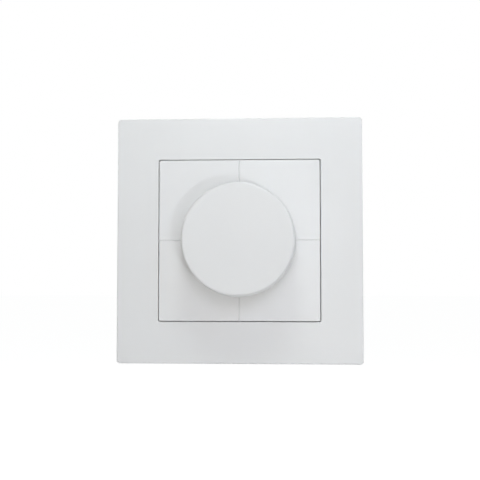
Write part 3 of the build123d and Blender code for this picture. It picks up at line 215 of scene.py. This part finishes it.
def moulded_skin_group():
    """Fine spark-eroded grain, faint flow marks and a soft mottle, as on moulded plastic."""
    tree, given, out = new_group(
        "moulded skin",
        [("Colour", "Color", (0.8, 0.8, 0.8, 1)), ("Mottle", "Float", 0.02), ("Grain Size", "Float", 0.25),
         ("Flow", "Float", 0.3), ("Gloss Spread", "Float", 0.05), ("Roughness", "Float", 0.4)],
        [("Colour", "Color"), ("Roughness", "Float"), ("Height", "Float")])
    place = object_place(tree)
    grain_scale = maths(tree, "DIVIDE", 1.0 / MM, given["Grain Size"])
    grain = noise(tree, place, grain_scale, detail=3.0, roughness=0.6)
    broad = noise(tree, place, BROAD_PATCHES, detail=2.0, roughness=0.5)
    stretched = put(tree, "ShaderNodeMapping", i0=place, Scale=FLOW_STRETCH).outputs[0]
    flow = noise(tree, stretched, 1.0, detail=3.0, roughness=0.55, distortion=0.6)
    mottle = maths(tree, "MULTIPLY", spread(tree, broad, NOISE_BAND, BOTH_WAYS), given["Mottle"])
    shade = maths(tree, "ADD", mottle, 1.0)
    tree.links.new(tint(tree, given["Colour"], shade), out["Colour"])
    swing = maths(tree, "MULTIPLY", spread(tree, flow, NOISE_BAND, BOTH_WAYS), given["Gloss Spread"])
    tree.links.new(maths(tree, "ADD", given["Roughness"], swing), out["Roughness"])
    waves = maths(tree, "MULTIPLY", flow, given["Flow"])
    tree.links.new(maths(tree, "ADD", grain, waves), out["Height"])
    return tree


EDGE_BEND = (0.01, 0.18)
EDGE_PATCHES = 900.0
EDGE_PATCH_BAND = (0.35, 0.65)


def edge_mask_group():
    """Finds edges to be painted paler, as a painted highlight, and on metal partly as rubbed wear: one on a
    sharp convex or concave edge, none on a flat.
    """
    tree, given, out = new_group("edge mask", [("Reach", "Float", 0.3), ("Break Up", "Float", 0.5)],
                                 [("Mask", "Float")])
    reach = maths(tree, "MULTIPLY", given["Reach"], MM)
    rounded = put(tree, "ShaderNodeBevel", {"samples": 4}, Radius=reach).outputs[0]
    flat = put(tree, "ShaderNodeNewGeometry").outputs["Normal"]
    facing = put(tree, "ShaderNodeVectorMath", {"operation": "DOT_PRODUCT"}, i0=rounded, i1=flat)
    bend = maths(tree, "SUBTRACT", 1.0, facing.outputs["Value"])
    edge = spread(tree, bend, EDGE_BEND, NONE_TO_ONE)
    clouds = noise(tree, object_place(tree), EDGE_PATCHES, detail=4.0, roughness=0.65)
    patch = spread(tree, clouds, EDGE_PATCH_BAND, NONE_TO_ONE)
    patch = put(tree, "ShaderNodeMix", i0=given["Break Up"], i2=1.0, i3=patch).outputs[0]
    tree.links.new(maths(tree, "MULTIPLY", edge, patch), out["Mask"])
    return tree


SPANGLES = 700.0
SPANGLE_SHADE = 0.06
HANDLING_CLOUDS = 130.0
CLOUD_DEPTH = 0.3


def plating_group():
    """Zinc or nickel plating on pressed metal: rolling lines, faint spangle and handling marks."""
    tree, given, out = new_group(
        "metal plating",
        [("Colour", "Color", (0.6, 0.6, 0.6, 1)), ("Stain", "Color", (0.5, 0.48, 0.4, 1)),
         ("Line Size", "Float", 0.12), ("Stretch", "Vector", (1.0, 12.0, 12.0)), ("Roughness", "Float", 0.35),
         ("Stain Amount", "Float", 0.25)],
        [("Colour", "Color"), ("Roughness", "Float"), ("Height", "Float")])
    place = object_place(tree)
    drawn_out = put(tree, "ShaderNodeVectorMath", {"operation": "MULTIPLY"}, i0=place, i1=given["Stretch"])
    line_scale = maths(tree, "DIVIDE", 0.1 / MM, given["Line Size"])
    lines = noise(tree, drawn_out.outputs[0], line_scale, detail=4.0, roughness=0.6)
    cells = put(tree, "ShaderNodeTexVoronoi", {"feature": "F1"}, Vector=place, Scale=SPANGLES)
    cell_tone = put(tree, "ShaderNodeSeparateColor", i0=cells.outputs["Color"]).outputs[0]
    cloud = noise(tree, place, HANDLING_CLOUDS, detail=4.0, roughness=0.6)
    shade = maths(tree, "ADD", spread(tree, lines, (0.25, 0.75), (0.90, 1.06)),
                  maths(tree, "MULTIPLY", cell_tone, SPANGLE_SHADE))
    base = tint(tree, given["Colour"], shade)
    stain = maths(tree, "MULTIPLY", spread(tree, cloud, (0.5, 0.75), NONE_TO_ONE), given["Stain Amount"])
    tree.links.new(mix_colours(tree, stain, base, given["Stain"]), out["Colour"])
    swing = maths(tree, "ADD", spread(tree, lines, (0.2, 0.8), (-0.06, 0.10)),
                  spread(tree, cloud, (0.3, 0.8), (-0.04, 0.10)))
    tree.links.new(maths(tree, "ADD", given["Roughness"], swing), out["Roughness"])
    tree.links.new(maths(tree, "ADD", lines, maths(tree, "MULTIPLY", cloud, CLOUD_DEPTH)), out["Height"])
    return tree


FINE_DUST = 1500.0
DUST_PATCHES = 60.0
CORNER_REACH = 2.0 * MM


def dust_group():
    """A thin film of handling dust, heavier in corners and recesses."""
    tree, given, out = new_group(
        "dust film",
        [("Colour", "Color", (0.8, 0.8, 0.8, 1)), ("Amount", "Float", 0.1),
         ("Dust", "Color", (0.55, 0.53, 0.49, 1))],
        [("Colour", "Color"), ("Mask", "Float")])
    place = object_place(tree)
    specks = noise(tree, place, FINE_DUST, detail=5.0, roughness=0.7)
    clouds = noise(tree, place, DUST_PATCHES, detail=3.0, roughness=0.6)
    fine = spread(tree, specks, (0.45, 0.75), NONE_TO_ONE)
    patches = spread(tree, clouds, (0.35, 0.7), (0.3, 1.0))
    settings = {"samples": 4, "only_local": True}
    hidden = put(tree, "ShaderNodeAmbientOcclusion", settings, Distance=CORNER_REACH).outputs["AO"]
    corners = spread(tree, hidden, (0.35, 0.9), (1.0, 0.25))
    mask = maths(tree, "MULTIPLY", maths(tree, "MULTIPLY", fine, patches), corners)
    mask = maths(tree, "MULTIPLY", mask, given["Amount"], clamp=True)
    tree.links.new(mix_colours(tree, mask, given["Colour"], given["Dust"]), out["Colour"])
    tree.links.new(mask, out["Mask"])
    return tree


MOULDED_SKIN = moulded_skin_group()
EDGE_MASK = edge_mask_group()
PLATING = plating_group()
DUST = dust_group()


# Finishes

def empty_material(name):
    """A material with a bare Principled shader, and that shader's inputs."""
    material = bpy.data.materials.new(name)
    material.use_nodes = True
    tree = material.node_tree
    tree.nodes.clear()
    shader = tree.nodes.new("ShaderNodeBsdfPrincipled")
    surface = tree.nodes.new("ShaderNodeOutputMaterial")
    tree.links.new(shader.outputs[0], surface.inputs["Surface"])
    return material, tree, shader.inputs


def bump(tree, shader, height, depth_mm, strength=1.0):
    """Raises the surface by a height between none and one, times a depth."""
    node = put(tree, "ShaderNodeBump", Height=height, Distance=depth_mm * MM, Strength=strength)
    tree.links.new(node.outputs[0], shader["Normal"])


PLASTIC_IOR = 1.49
GLOW_COLOURS = (1.0, 0.9, 0.8)
GLOW_DEPTH = 0.6 * MM
DUST_DULLS = 0.3


def moulded_plastic(name, rgb, roughness, grain_mm, depth_mm, mottle, dust=0.0, edge=0.05, glow=0.0):
    """Injection moulded plastic: satin skin, thin edges painted paler as a painted highlight, and a little
    dust in its corners.
    """
    material, tree, shader = empty_material(name)
    skin = use_group(tree, MOULDED_SKIN, Colour=opaque(rgb), Mottle=mottle, Grain_Size=grain_mm, Flow=0.3,
                     Gloss_Spread=0.04, Roughness=roughness)
    # Painted highlight: the edge mask lightens the colour on every sharp edge by the share given as edge
    rim = use_group(tree, EDGE_MASK, Reach=0.35, Break_Up=0.35)["Mask"]
    lift = maths(tree, "ADD", maths(tree, "MULTIPLY", rim, edge), 1.0)
    colour = tint(tree, skin["Colour"], lift)
    dullness = skin["Roughness"]
    if dust:
        film = use_group(tree, DUST, Colour=colour, Amount=dust)
        colour = film["Colour"]
        dullness = maths(tree, "ADD", dullness, maths(tree, "MULTIPLY", film["Mask"], DUST_DULLS))
    tree.links.new(colour, shader["Base Color"])
    tree.links.new(dullness, shader["Roughness"])
    shader["IOR"].default_value = PLASTIC_IOR
    if glow:
        shader["Subsurface Weight"].default_value = glow
        shader["Subsurface Radius"].default_value = GLOW_COLOURS
        shader["Subsurface Scale"].default_value = GLOW_DEPTH
    bump(tree, shader, skin["Height"], depth_mm)
    return material


# The lines are drawn out along X on rolled metal, and even on a casting
ROLLED = (1.0, 12.0, 12.0)
CAST = (1.0, 1.0, 1.0)
DULL_FILM = (0.42, 0.40, 0.34)
# How much brighter edges are painted: partly rubbed wear, partly a painted highlight, since concave edges get
# it too
RUBBED_AND_HIGHLIGHT_LIFT = 0.25
RUBBED_GLOSS = 0.12


def plated_metal(name, rgb, roughness, stain=0.25, line_mm=0.12, stretch=ROLLED, depth_mm=0.003):
    """Plated or bare metal: rolled or turned lines, patches of dull film, and edges painted brighter, partly
    as rubbed wear and partly as a painted highlight.
    """
    material, tree, shader = empty_material(name)
    skin = use_group(tree, PLATING, Colour=opaque(rgb), Stain=opaque(DULL_FILM), Line_Size=line_mm,
                     Stretch=stretch, Roughness=roughness, Stain_Amount=stain)
    rim = use_group(tree, EDGE_MASK, Reach=0.2, Break_Up=0.6)["Mask"]
    # Painted highlight and rubbed wear: the edge mask brightens the colour on convex and concave edges
    lift = maths(tree, "ADD", maths(tree, "MULTIPLY", rim, RUBBED_AND_HIGHLIGHT_LIFT), 1.0)
    tree.links.new(tint(tree, skin["Colour"], lift), shader["Base Color"])
    rubbed = maths(tree, "MULTIPLY", rim, RUBBED_GLOSS)
    tree.links.new(maths(tree, "SUBTRACT", skin["Roughness"], rubbed, clamp=True), shader["Roughness"])
    shader["Metallic"].default_value = 1.0
    bump(tree, shader, skin["Height"], depth_mm)
    return material


WEAVE_SHADES = (0.92, 1.08)
WAVES_A_THREAD = 3
LAMINATE_ROUGHNESS = 0.35
WEAVE_DULLS = 0.1
WEAVE_DEPTH_MM = 0.01
TRACK_CELLS = 210.0
TRACK_EDGE = (0.05, 0.07)


def laminate(name, rgb, weave_mm=0.9, tracks=None):
    """Circuit board laminate: woven glass under a varnish, with paler areas of track where it has them."""
    material, tree, shader = empty_material(name)
    place = object_place(tree)
    scale = 1.0 / (weave_mm * MM) / WAVES_A_THREAD
    warp, weft = [put(tree, "ShaderNodeTexWave", {"bands_direction": way}, Vector=place, Scale=scale,
                      Distortion=0.4).outputs[1] for way in ("X", "Z")]
    weave = maths(tree, "MULTIPLY", warp, weft)
    dark, pale = [opaque([share * level for share in rgb]) for level in WEAVE_SHADES]
    colour = mix_colours(tree, weave, dark, pale)
    if tracks:
        settings = {"feature": "DISTANCE_TO_EDGE"}
        cells = put(tree, "ShaderNodeTexVoronoi", settings, Vector=place, Scale=TRACK_CELLS).outputs[0]
        colour = mix_colours(tree, spread(tree, cells, TRACK_EDGE, NONE_TO_ONE), colour, opaque(tracks))
    tree.links.new(colour, shader["Base Color"])
    dullness = (LAMINATE_ROUGHNESS, LAMINATE_ROUGHNESS + WEAVE_DULLS)
    tree.links.new(spread(tree, weave, NONE_TO_ONE, dullness), shader["Roughness"])
    bump(tree, shader, weave, WEAVE_DEPTH_MM, strength=0.5)
    return material


# For each plastic: its colour, roughness, grain size and depth in millimetres, and mottle
# edge= sets how much the edges are painted paler, a painted highlight
MATERIALS = {
    "frame_plastic": moulded_plastic("frame white", (0.80, 0.806, 0.805), 0.42, 0.22, 0.003, 0.008,
                                     glow=0.05),
    "plate_plastic": moulded_plastic("plate white", (0.81, 0.816, 0.817), 0.40, 0.22, 0.003, 0.008,
                                     glow=0.05),
    "knob_plastic": moulded_plastic("knob white", (0.795, 0.80, 0.797), 0.46, 0.25, 0.004, 0.008, glow=0.05),
    "housing_plastic": moulded_plastic("housing grey", (0.62, 0.625, 0.61), 0.5, 0.35, 0.012, 0.03,
                                       dust=0.35),
    "terminal_plastic": moulded_plastic("terminal grey", (0.10, 0.10, 0.105), 0.45, 0.3, 0.008, 0.05,
                                        dust=0.25, edge=0.4),
    "pot_plastic": moulded_plastic("pot black", (0.02, 0.02, 0.022), 0.4, 0.3, 0.006, 0.1,
                                   dust=0.2, edge=0.6),
    "white_plastic": moulded_plastic("inner white", (0.70, 0.70, 0.67), 0.45, 0.3, 0.006, 0.02),
    "ferrite": moulded_plastic("core coating", (0.45, 0.36, 0.05), 0.5, 0.4, 0.02, 0.06, edge=0.2),
    "film_case": moulded_plastic("film capacitor", (0.50, 0.46, 0.33), 0.35, 0.3, 0.004, 0.03),
    "can_sleeve": moulded_plastic("capacitor sleeve", (0.02, 0.025, 0.05), 0.25, 0.5, 0.004, 0.05),
    "silicone_pad": moulded_plastic("silicone pad", (0.32, 0.36, 0.40), 0.7, 0.4, 0.01, 0.05),
    "epoxy_black": moulded_plastic("epoxy black", (0.025, 0.025, 0.028), 0.5, 0.2, 0.012, 0.1, edge=0.5),
    "ceramic_parts": moulded_plastic("ceramic body", (0.30, 0.22, 0.14), 0.4, 0.2, 0.006, 0.1),
    "trimmer_blue": moulded_plastic("trimmer blue", (0.02, 0.06, 0.28), 0.4, 0.3, 0.006, 0.05),
    "galvanised_steel": plated_metal("galvanised sheet", (0.56, 0.57, 0.58), 0.34),
    "screw_steel": plated_metal("screw zinc", (0.60, 0.60, 0.57), 0.3, stain=0.15, line_mm=0.06),
    "spring_steel": plated_metal("spring wire", (0.42, 0.42, 0.43), 0.28, stain=0.1, line_mm=0.05),
    "nickel_brass": plated_metal("nickel nut", (0.62, 0.60, 0.54), 0.22, stain=0.1, line_mm=0.05),
    "die_cast_zinc": plated_metal("cast bushing", (0.50, 0.51, 0.52), 0.4, stain=0.35, line_mm=0.2,
                                  stretch=CAST, depth_mm=0.006),
    "copper_alloy": plated_metal("tinned strip", (0.72, 0.55, 0.32), 0.28, stain=0.3, line_mm=0.08),
    "enamelled_copper": plated_metal("enamelled wire", (0.55, 0.22, 0.07), 0.22, stain=0.1, line_mm=0.05),
    "aluminium_sheet": plated_metal("aluminium sheet", (0.66, 0.67, 0.68), 0.36, stain=0.1),
    "fibre_board": laminate("board green", (0.02, 0.11, 0.05), tracks=(0.03, 0.16, 0.07)),
    "track_laminate": laminate("track brown", (0.16, 0.08, 0.04), weave_mm=0.6),
}


def dress_cad():
    """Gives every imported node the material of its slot."""
    slots = {row["node"]: row["material_slot"] for row in frame["record"]["subparts"]}
    for name, node in nodes_by_name.items():
        for place in node.material_slots:
            place.material = MATERIALS[slots[name]]


# Mesh helpers

def corners_of(node_name):
    """The points of a CAD node's mesh."""
    return [corner.co for corner in nodes_by_name[node_name].data.vertices]


def add_to_scene(name, data, slot_name):
    """A new piece of the object, with the finish of its slot."""
    data.materials.append(MATERIALS[slot_name])
    piece = bpy.data.objects.new(name, data)
    scene.collection.objects.link(piece)
    return piece


def mesh_piece(name, mesh, body, slot_name, crisp_above=None):
    """A new piece that rides on a body. Its faces are smooth, with a crisp edge wherever two of them
    meet at more than the given angle."""
    bmesh.ops.recalc_face_normals(mesh, faces=mesh.faces[:])
    data = bpy.data.meshes.new(name)
    mesh.to_mesh(data)
    mesh.free()
    for face in data.polygons:
        face.use_smooth = True
    if crisp_above:
        data.set_sharp_from_angle(angle=crisp_above)
    piece = add_to_scene(name, data, slot_name)
    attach(piece, body)
    return piece


def add_rings(mesh, rings, closed_loop=False):
    """Skins a row of rings that have the same number of points. It caps the two ends, or joins them."""
    rows = [[mesh.verts.new(point) for point in ring] for ring in rings]
    count = len(rows[0])
    pairs = list(zip(rows, rows[1:])) + ([(rows[-1], rows[0])] if closed_loop else [])
    for low, high in pairs:
        for i in range(count):
            j = (i + 1) % count
            mesh.faces.new((low[i], low[j], high[j], high[i]))
    if not closed_loop:
        mesh.faces.new(reversed(rows[0]))
        mesh.faces.new(rows[-1])


def round_the_circle(count):
    """Evenly spaced angles, once round."""
    return [FULL_TURN * i / count for i in range(count)]


WELD = 0.001 * MM


def cut_off(node_name, level, keep):
    """A copy of a node's mesh, cut square across at a level, with the open side closed."""
    mesh = bmesh.new()
    mesh.from_mesh(nodes_by_name[node_name].data)
    bmesh.ops.remove_doubles(mesh, verts=mesh.verts[:], dist=WELD)
    everything = mesh.verts[:] + mesh.edges[:] + mesh.faces[:]
    bmesh.ops.bisect_plane(mesh, geom=everything, plane_co=level, plane_no=keep, clear_inner=True)
    bmesh.ops.remove_doubles(mesh, verts=mesh.verts[:], dist=WELD)
    bmesh.ops.dissolve_degenerate(mesh, edges=mesh.edges[:], dist=WELD)
    rim = [edge for edge in mesh.edges if edge.is_boundary]
    bmesh.ops.triangle_fill(mesh, edges=rim, use_beauty=True, use_dissolve=False)
    return mesh


# Threads: each rod is let into the piece it grows from, so that no gap shows
LET_IN = 0.10 * MM
STEPS_A_THREAD = 8
CRISP_THREAD = radians(35)
BUSHING_THREAD = {"pitch": 0.75 * MM, "depth": 0.42 * MM, "lead_in": 0.40 * MM, "sides": 96}
TERMINAL_THREAD = {"pitch": 0.50 * MM, "depth": 0.28 * MM, "lead_in": 0.30 * MM, "sides": 40}
BARREL_REACH = 5.5 * MM
SHANK_TIP = 1.0 * MM


def thread_radius(outer, along, turn, length, pitch, depth, lead_in):
    """The radius of a V thread at one place along and round it, falling off at its lead-in."""
    phase = (along / pitch - turn / FULL_TURN) % 1.0
    cut = depth * (1.0 - abs(2.0 * phase - 1.0))
    return outer - max(cut, lead_in - (length - along), 0.0)


def add_threaded_rod(mesh, to_world, outer, length, pitch, depth, lead_in, sides, bore=0.0):
    """A rod with a V thread along its own Z. With a bore it is a sleeve."""
    rows = max(2, round(length / pitch * STEPS_A_THREAD))
    turns = round_the_circle(sides)
    rings = []
    for row in range(rows + 1):
        along = length * row / rows
        radii = [thread_radius(outer, along, turn, length, pitch, depth, lead_in) for turn in turns]
        rings.append([to_world @ Vector((r * cos(turn), r * sin(turn), along))
                      for r, turn in zip(radii, turns)])
    if bore:
        for along in (length, 0.0):
            rings.append([to_world @ Vector((bore * cos(turn), bore * sin(turn), along)) for turn in turns])
    add_rings(mesh, rings, closed_loop=bool(bore))


def threaded_bushing():
    """The bushing's flange as it is, and its barrel with a real thread."""
    corners = corners_of("pot_bushing")
    flange_front = min(co.y for co in corners if max(abs(co.x), abs(co.z)) > BARREL_REACH)
    reaches = [Vector((co.x, co.z)).length for co in corners if co.y < flange_front - LET_IN]
    mesh = cut_off("pot_bushing", Vector((0, flange_front, 0)), Vector((0, 1, 0)))
    length = flange_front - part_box("pot_bushing")[0].y + LET_IN
    to_world = Matrix.Translation((0, flange_front + LET_IN, 0)) @ Matrix.Rotation(pi / 2, 4, "X")
    add_threaded_rod(mesh, to_world, max(reaches), length, bore=min(reaches), **BUSHING_THREAD)
    piece = mesh_piece("bushing_with_thread", mesh, "insert", "die_cast_zinc", CRISP_THREAD)
    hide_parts("pot_bushing")


def threaded_terminal_screws():
    """Slotted terminal screws, each head as it is and its shank with a real thread."""
    for i in (1, 2, 3):
        name = f"terminal_screw_{i}"
        low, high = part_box(name)
        middle = (low + high) / 2
        reaches = [(Vector((co.x - middle.x, co.y - middle.y)).length, co.z) for co in corners_of(name)]
        outer = max(reach for reach, level in reaches if level > high.z - SHANK_TIP)
        head_top = max(level for reach, level in reaches if reach > outer + LET_IN)
        mesh = cut_off(name, Vector((0, 0, head_top)), Vector((0, 0, -1)))
        to_world = Matrix.Translation((middle.x, middle.y, head_top - LET_IN))
        add_threaded_rod(mesh, to_world, outer, high.z - head_top + LET_IN, **TERMINAL_THREAD)
        piece = mesh_piece(f"threaded_screw_{i}", mesh, f"screw_{i}", "screw_steel", CRISP_THREAD)
        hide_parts(name)


# Wires behind the plate: the choke's coil, the switch's spring and the soldered leads
POINTS_A_TURN = 24
LEAD_TIP_DEPTH = 0.1 * MM
ONE_LEAD = 1.2 * MM


def lead_tips(node_name):
    """Where a component's leads stand out behind the board: the middle of each one's end."""
    corners = corners_of(node_name)
    far = max(co.y for co in corners)
    tips = []
    for co in corners:
        if co.y <= far - LEAD_TIP_DEPTH:
            continue
        near = [tip for tip in tips if (tip[0] - co).length < ONE_LEAD]
        if near:
            near[0].append(co)
        else:
            tips.append([co])
    return [sum(tip, Vector()) / len(tip) for tip in tips]


CHOKE_WIRE_RADIUS = 0.43 * MM
CHOKE_WIRE_ROUNDING = 3
CHOKE_BANK_TURNS = 10
CHOKE_BANK_GAP = radians(12)
SQUARENESS = 8


def bank_of_wire(middle, core, first, sweep):
    """The points of one bank of the coil: a rounded square loop that steps along the core. The core is
    given as the radius of its ring and the wire's half reach outwards and through it."""
    ring, along, across = core
    count = CHOKE_BANK_TURNS * POINTS_A_TURN
    points = []
    for i in range(count + 1):
        turn = first + sweep * i / count
        wrap = FULL_TURN * i / POINTS_A_TURN
        c, s = cos(wrap), sin(wrap)
        stretch = (abs(c) ** SQUARENESS + abs(s) ** SQUARENESS) ** (-1 / SQUARENESS)
        r = ring + along * c * stretch
        points.append(Vector((middle.x + r * cos(turn),
                              middle.y - across * s * stretch,
                              middle.z + r * sin(turn))))
    return points


def lead_run(tip, coil_end, bend_level, through):
    """A lead from behind the board up through its hole and on to the coil's end. The second bank's
    wire stops at the hole, where the two are joined."""
    at_hole = Vector((tip.x, bend_level, tip.z))
    below_coil = Vector((coil_end.x, bend_level - CHOKE_WIRE_RADIUS / 2, coil_end.z))
    return ([tip] if through else []) + [at_hole, below_coil]


def wound_choke():
    """The choke's two banks of wire, wound turn by turn round its core from one lead to the other."""
    low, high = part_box("choke_core")
    middle = (low + high) / 2
    outer = (high.x - low.x) / 2
    inner = min(Vector((co.x - middle.x, co.z - middle.z)).length for co in corners_of("choke_core"))
    core = ((outer + inner) / 2,
            (outer - inner) / 2 + CHOKE_WIRE_RADIUS,
            (high.y - low.y) / 2 + CHOKE_WIRE_RADIUS)
    bend_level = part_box("circuit_board")[0].y - CHOKE_WIRE_RADIUS
    tips = lead_tips("choke_winding")[:2]
    lead_turns = [atan2(tip.z - middle.z, tip.x - middle.x) for tip in tips]
    wire = bpy.data.curves.new("wound choke", "CURVE")
    wire.dimensions = "3D"
    wire.bevel_depth = CHOKE_WIRE_RADIUS
    wire.bevel_resolution = CHOKE_WIRE_ROUNDING
    wire.use_fill_caps = True
    for start, stop in ((0, 1), (1, 0)):
        sweep = (lead_turns[stop] - lead_turns[start]) % FULL_TURN - CHOKE_BANK_GAP
        points = bank_of_wire(middle, core, lead_turns[start] + CHOKE_BANK_GAP / 2, sweep)
        through = start == 0
        last_lead = lead_run(tips[stop], points[-1], bend_level, through)
        run = lead_run(tips[start], points[0], bend_level, through) + points + last_lead[::-1]
        spline = wire.splines.new("POLY")
        spline.points.add(len(run) - 1)
        for point, co in zip(spline.points, run):
            point.co = (*co, 1.0)
    coil = add_to_scene("wound_choke", wire, "enamelled_copper")
    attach(coil, "insert")
    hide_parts("choke_winding")


SPRING_WIRE_RADIUS = 0.22 * MM
SPRING_OPEN_TURNS = 4
SPRING_CLOSED_PITCH = 0.46 * MM
SPRING_SIDES = 10


def wound_return_spring():
    """The push switch's spring, with a closed turn at each end."""
    low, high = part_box("return_spring")
    middle = (low + high) / 2
    coil = (high.x - low.x) / 2 - SPRING_WIRE_RADIUS
    start, stop = low.y + SPRING_WIRE_RADIUS, high.y - SPRING_WIRE_RADIUS
    open_pitch = (stop - start - 2 * SPRING_CLOSED_PITCH) / SPRING_OPEN_TURNS
    pitches = [SPRING_CLOSED_PITCH] + [open_pitch] * SPRING_OPEN_TURNS + [SPRING_CLOSED_PITCH]
    rings = []
    level = start
    for i in range(len(pitches) * POINTS_A_TURN + 1):
        turn = FULL_TURN * i / POINTS_A_TURN
        pitch = pitches[min(i // POINTS_A_TURN, len(pitches) - 1)]
        out = Vector((cos(turn), 0, sin(turn)))
        forward = Vector((-sin(turn), pitch / (FULL_TURN * coil), cos(turn))).normalized()
        up = forward.cross(out)
        centre = Vector((middle.x, level, middle.z)) + out * coil
        rings.append([centre + (out * cos(side) + up * sin(side)) * SPRING_WIRE_RADIUS
                      for side in round_the_circle(SPRING_SIDES)])
        level += pitch / POINTS_A_TURN
    mesh = bmesh.new()
    add_rings(mesh, rings)
    piece = mesh_piece("wound_return_spring", mesh, "insert", "spring_steel")
    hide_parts("return_spring")
    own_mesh(piece)


SOLDER_RADIUS = 0.95 * MM
SOLDER_HEIGHT = 0.75 * MM
SOLDER_NECK = 0.36 * MM
SOLDER_HOLLOW = 2.2
SOLDER_STEPS = 6
SOLDER_SIDES = 20
SOLDERED = ("choke_winding", "film_capacitor", "storage_capacitor", "fuse", "trimmer_body")


def solder_joints():
    """A concave cone of solder round every lead behind the board."""
    mesh = bmesh.new()
    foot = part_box("circuit_board")[1].y - LET_IN / 2
    turns = round_the_circle(SOLDER_SIDES)
    for node_name in SOLDERED:
        for tip in lead_tips(node_name):
            rings = []
            for step in range(SOLDER_STEPS + 1):
                rise = step / SOLDER_STEPS
                r = SOLDER_NECK + (SOLDER_RADIUS - SOLDER_NECK) * (1 - rise) ** SOLDER_HOLLOW
                level = foot + (SOLDER_HEIGHT + LET_IN / 2) * rise
                rings.append([Vector((tip.x + r * cos(turn), level, tip.z + r * sin(turn)))
                              for turn in turns])
            add_rings(mesh, rings)
    mesh_piece("solder_joints", mesh, "insert", "copper_alloy")


# Studio

def camera_as_photographed():
    """The camera, where it stood for the photograph."""
    data = bpy.data.cameras.new("camera")
    data.lens = CAMERA_LENS
    data.sensor_width = SENSOR_WIDTH
    data.clip_start = NEAREST_SEEN
    data.clip_end = FARTHEST_SEEN
    camera = bpy.data.objects.new("camera", data)
    camera.location = (CAMERA_RIGHT, PLATE_FRONT_Y - CAMERA_DISTANCE, -CAMERA_DROP)
    camera.rotation_euler = (pi / 2 + CAMERA_TILT, 0.0, CAMERA_TURN)
    scene.collection.objects.link(camera)
    scene.camera = camera


def lamps():
    """Disc lamps, each aimed at the middle of the plate's front."""
    middle = Vector((0.0, PLATE_FRONT_Y, 0.0))
    for name, (distance, off_axis, way_round, width, power, colour) in LAMPS.items():
        off, way = radians(off_axis), radians(way_round)
        direction = Vector((sin(off) * cos(way), -cos(off), sin(off) * sin(way)))
        data = bpy.data.lights.new(name, "AREA")
        data.shape = "DISK"
        data.size = width
        data.energy = power
        data.color = colour
        disc = bpy.data.objects.new(name, data)
        disc.location = middle + direction * distance
        disc.rotation_euler = (-direction).to_track_quat("-Z", "Y").to_euler()
        disc.visible_camera = False
        scene.collection.objects.link(disc)


def seen_directly(tree):
    """One for what is seen straight on, in a gloss or through something clear, and none for the rest."""
    path = put(tree, "ShaderNodeLightPath").outputs
    eye = maths(tree, "MAXIMUM", path["Is Camera Ray"], path["Is Glossy Ray"])
    return maths(tree, "MAXIMUM", eye, path["Is Transmission Ray"])


def world():
    """White surroundings where they are seen, and a plain soft sky for the light on the object."""
    surroundings = bpy.data.worlds.new("studio")
    surroundings.use_nodes = True
    tree = surroundings.node_tree
    tree.nodes.clear()
    seen = put(tree, "ShaderNodeBackground", Color=opaque(WHITE_LIGHT), Strength=1.0).outputs[0]
    lit = put(tree, "ShaderNodeBackground", Color=opaque(SKY_COLOUR), Strength=SKY_STRENGTH).outputs[0]
    shader = put(tree, "ShaderNodeMixShader", i0=seen_directly(tree), i1=lit, i2=seen).outputs[0]
    tree.links.new(shader, tree.nodes.new("ShaderNodeOutputWorld").inputs["Surface"])
    scene.world = surroundings


def floor():
    """A white floor below the object. It glows enough to look white, and less under the object, where
    its shadow falls."""
    material, tree, shader = empty_material("white floor")
    shader["Base Color"].default_value = FLOOR_SHADE
    shader["Roughness"].default_value = FLOOR_ROUGHNESS
    shader["Specular IOR Level"].default_value = 0.0
    away = put(tree, "ShaderNodeVectorMath", {"operation": "LENGTH"}, i0=object_place(tree)).outputs["Value"]
    tree.links.new(spread(tree, away, GLOW_DISTANCES, FLOOR_GLOW), shader["Emission Color"])
    tree.links.new(seen_directly(tree), shader["Emission Strength"])
    mesh = bpy.data.meshes.new("floor")
    corners = [(x * FLOOR_HALF, y * FLOOR_HALF, 0.0) for x, y in ((-1, -1), (1, -1), (1, 1), (-1, 1))]
    mesh.from_pydata(corners, [], [(0, 1, 2, 3)])
    mesh.materials.append(material)
    plane = bpy.data.objects.new("floor", mesh)
    plane.location = (0.0, 0.0, cad_low.z - FLOOR_DROP)
    scene.collection.objects.link(plane)


camera_as_photographed()
dress_cad()
threaded_bushing()
threaded_terminal_screws()
wound_choke()
wound_return_spring()
solder_joints()
lamps()
world()
floor()
scene.view_settings.view_transform = "Standard"
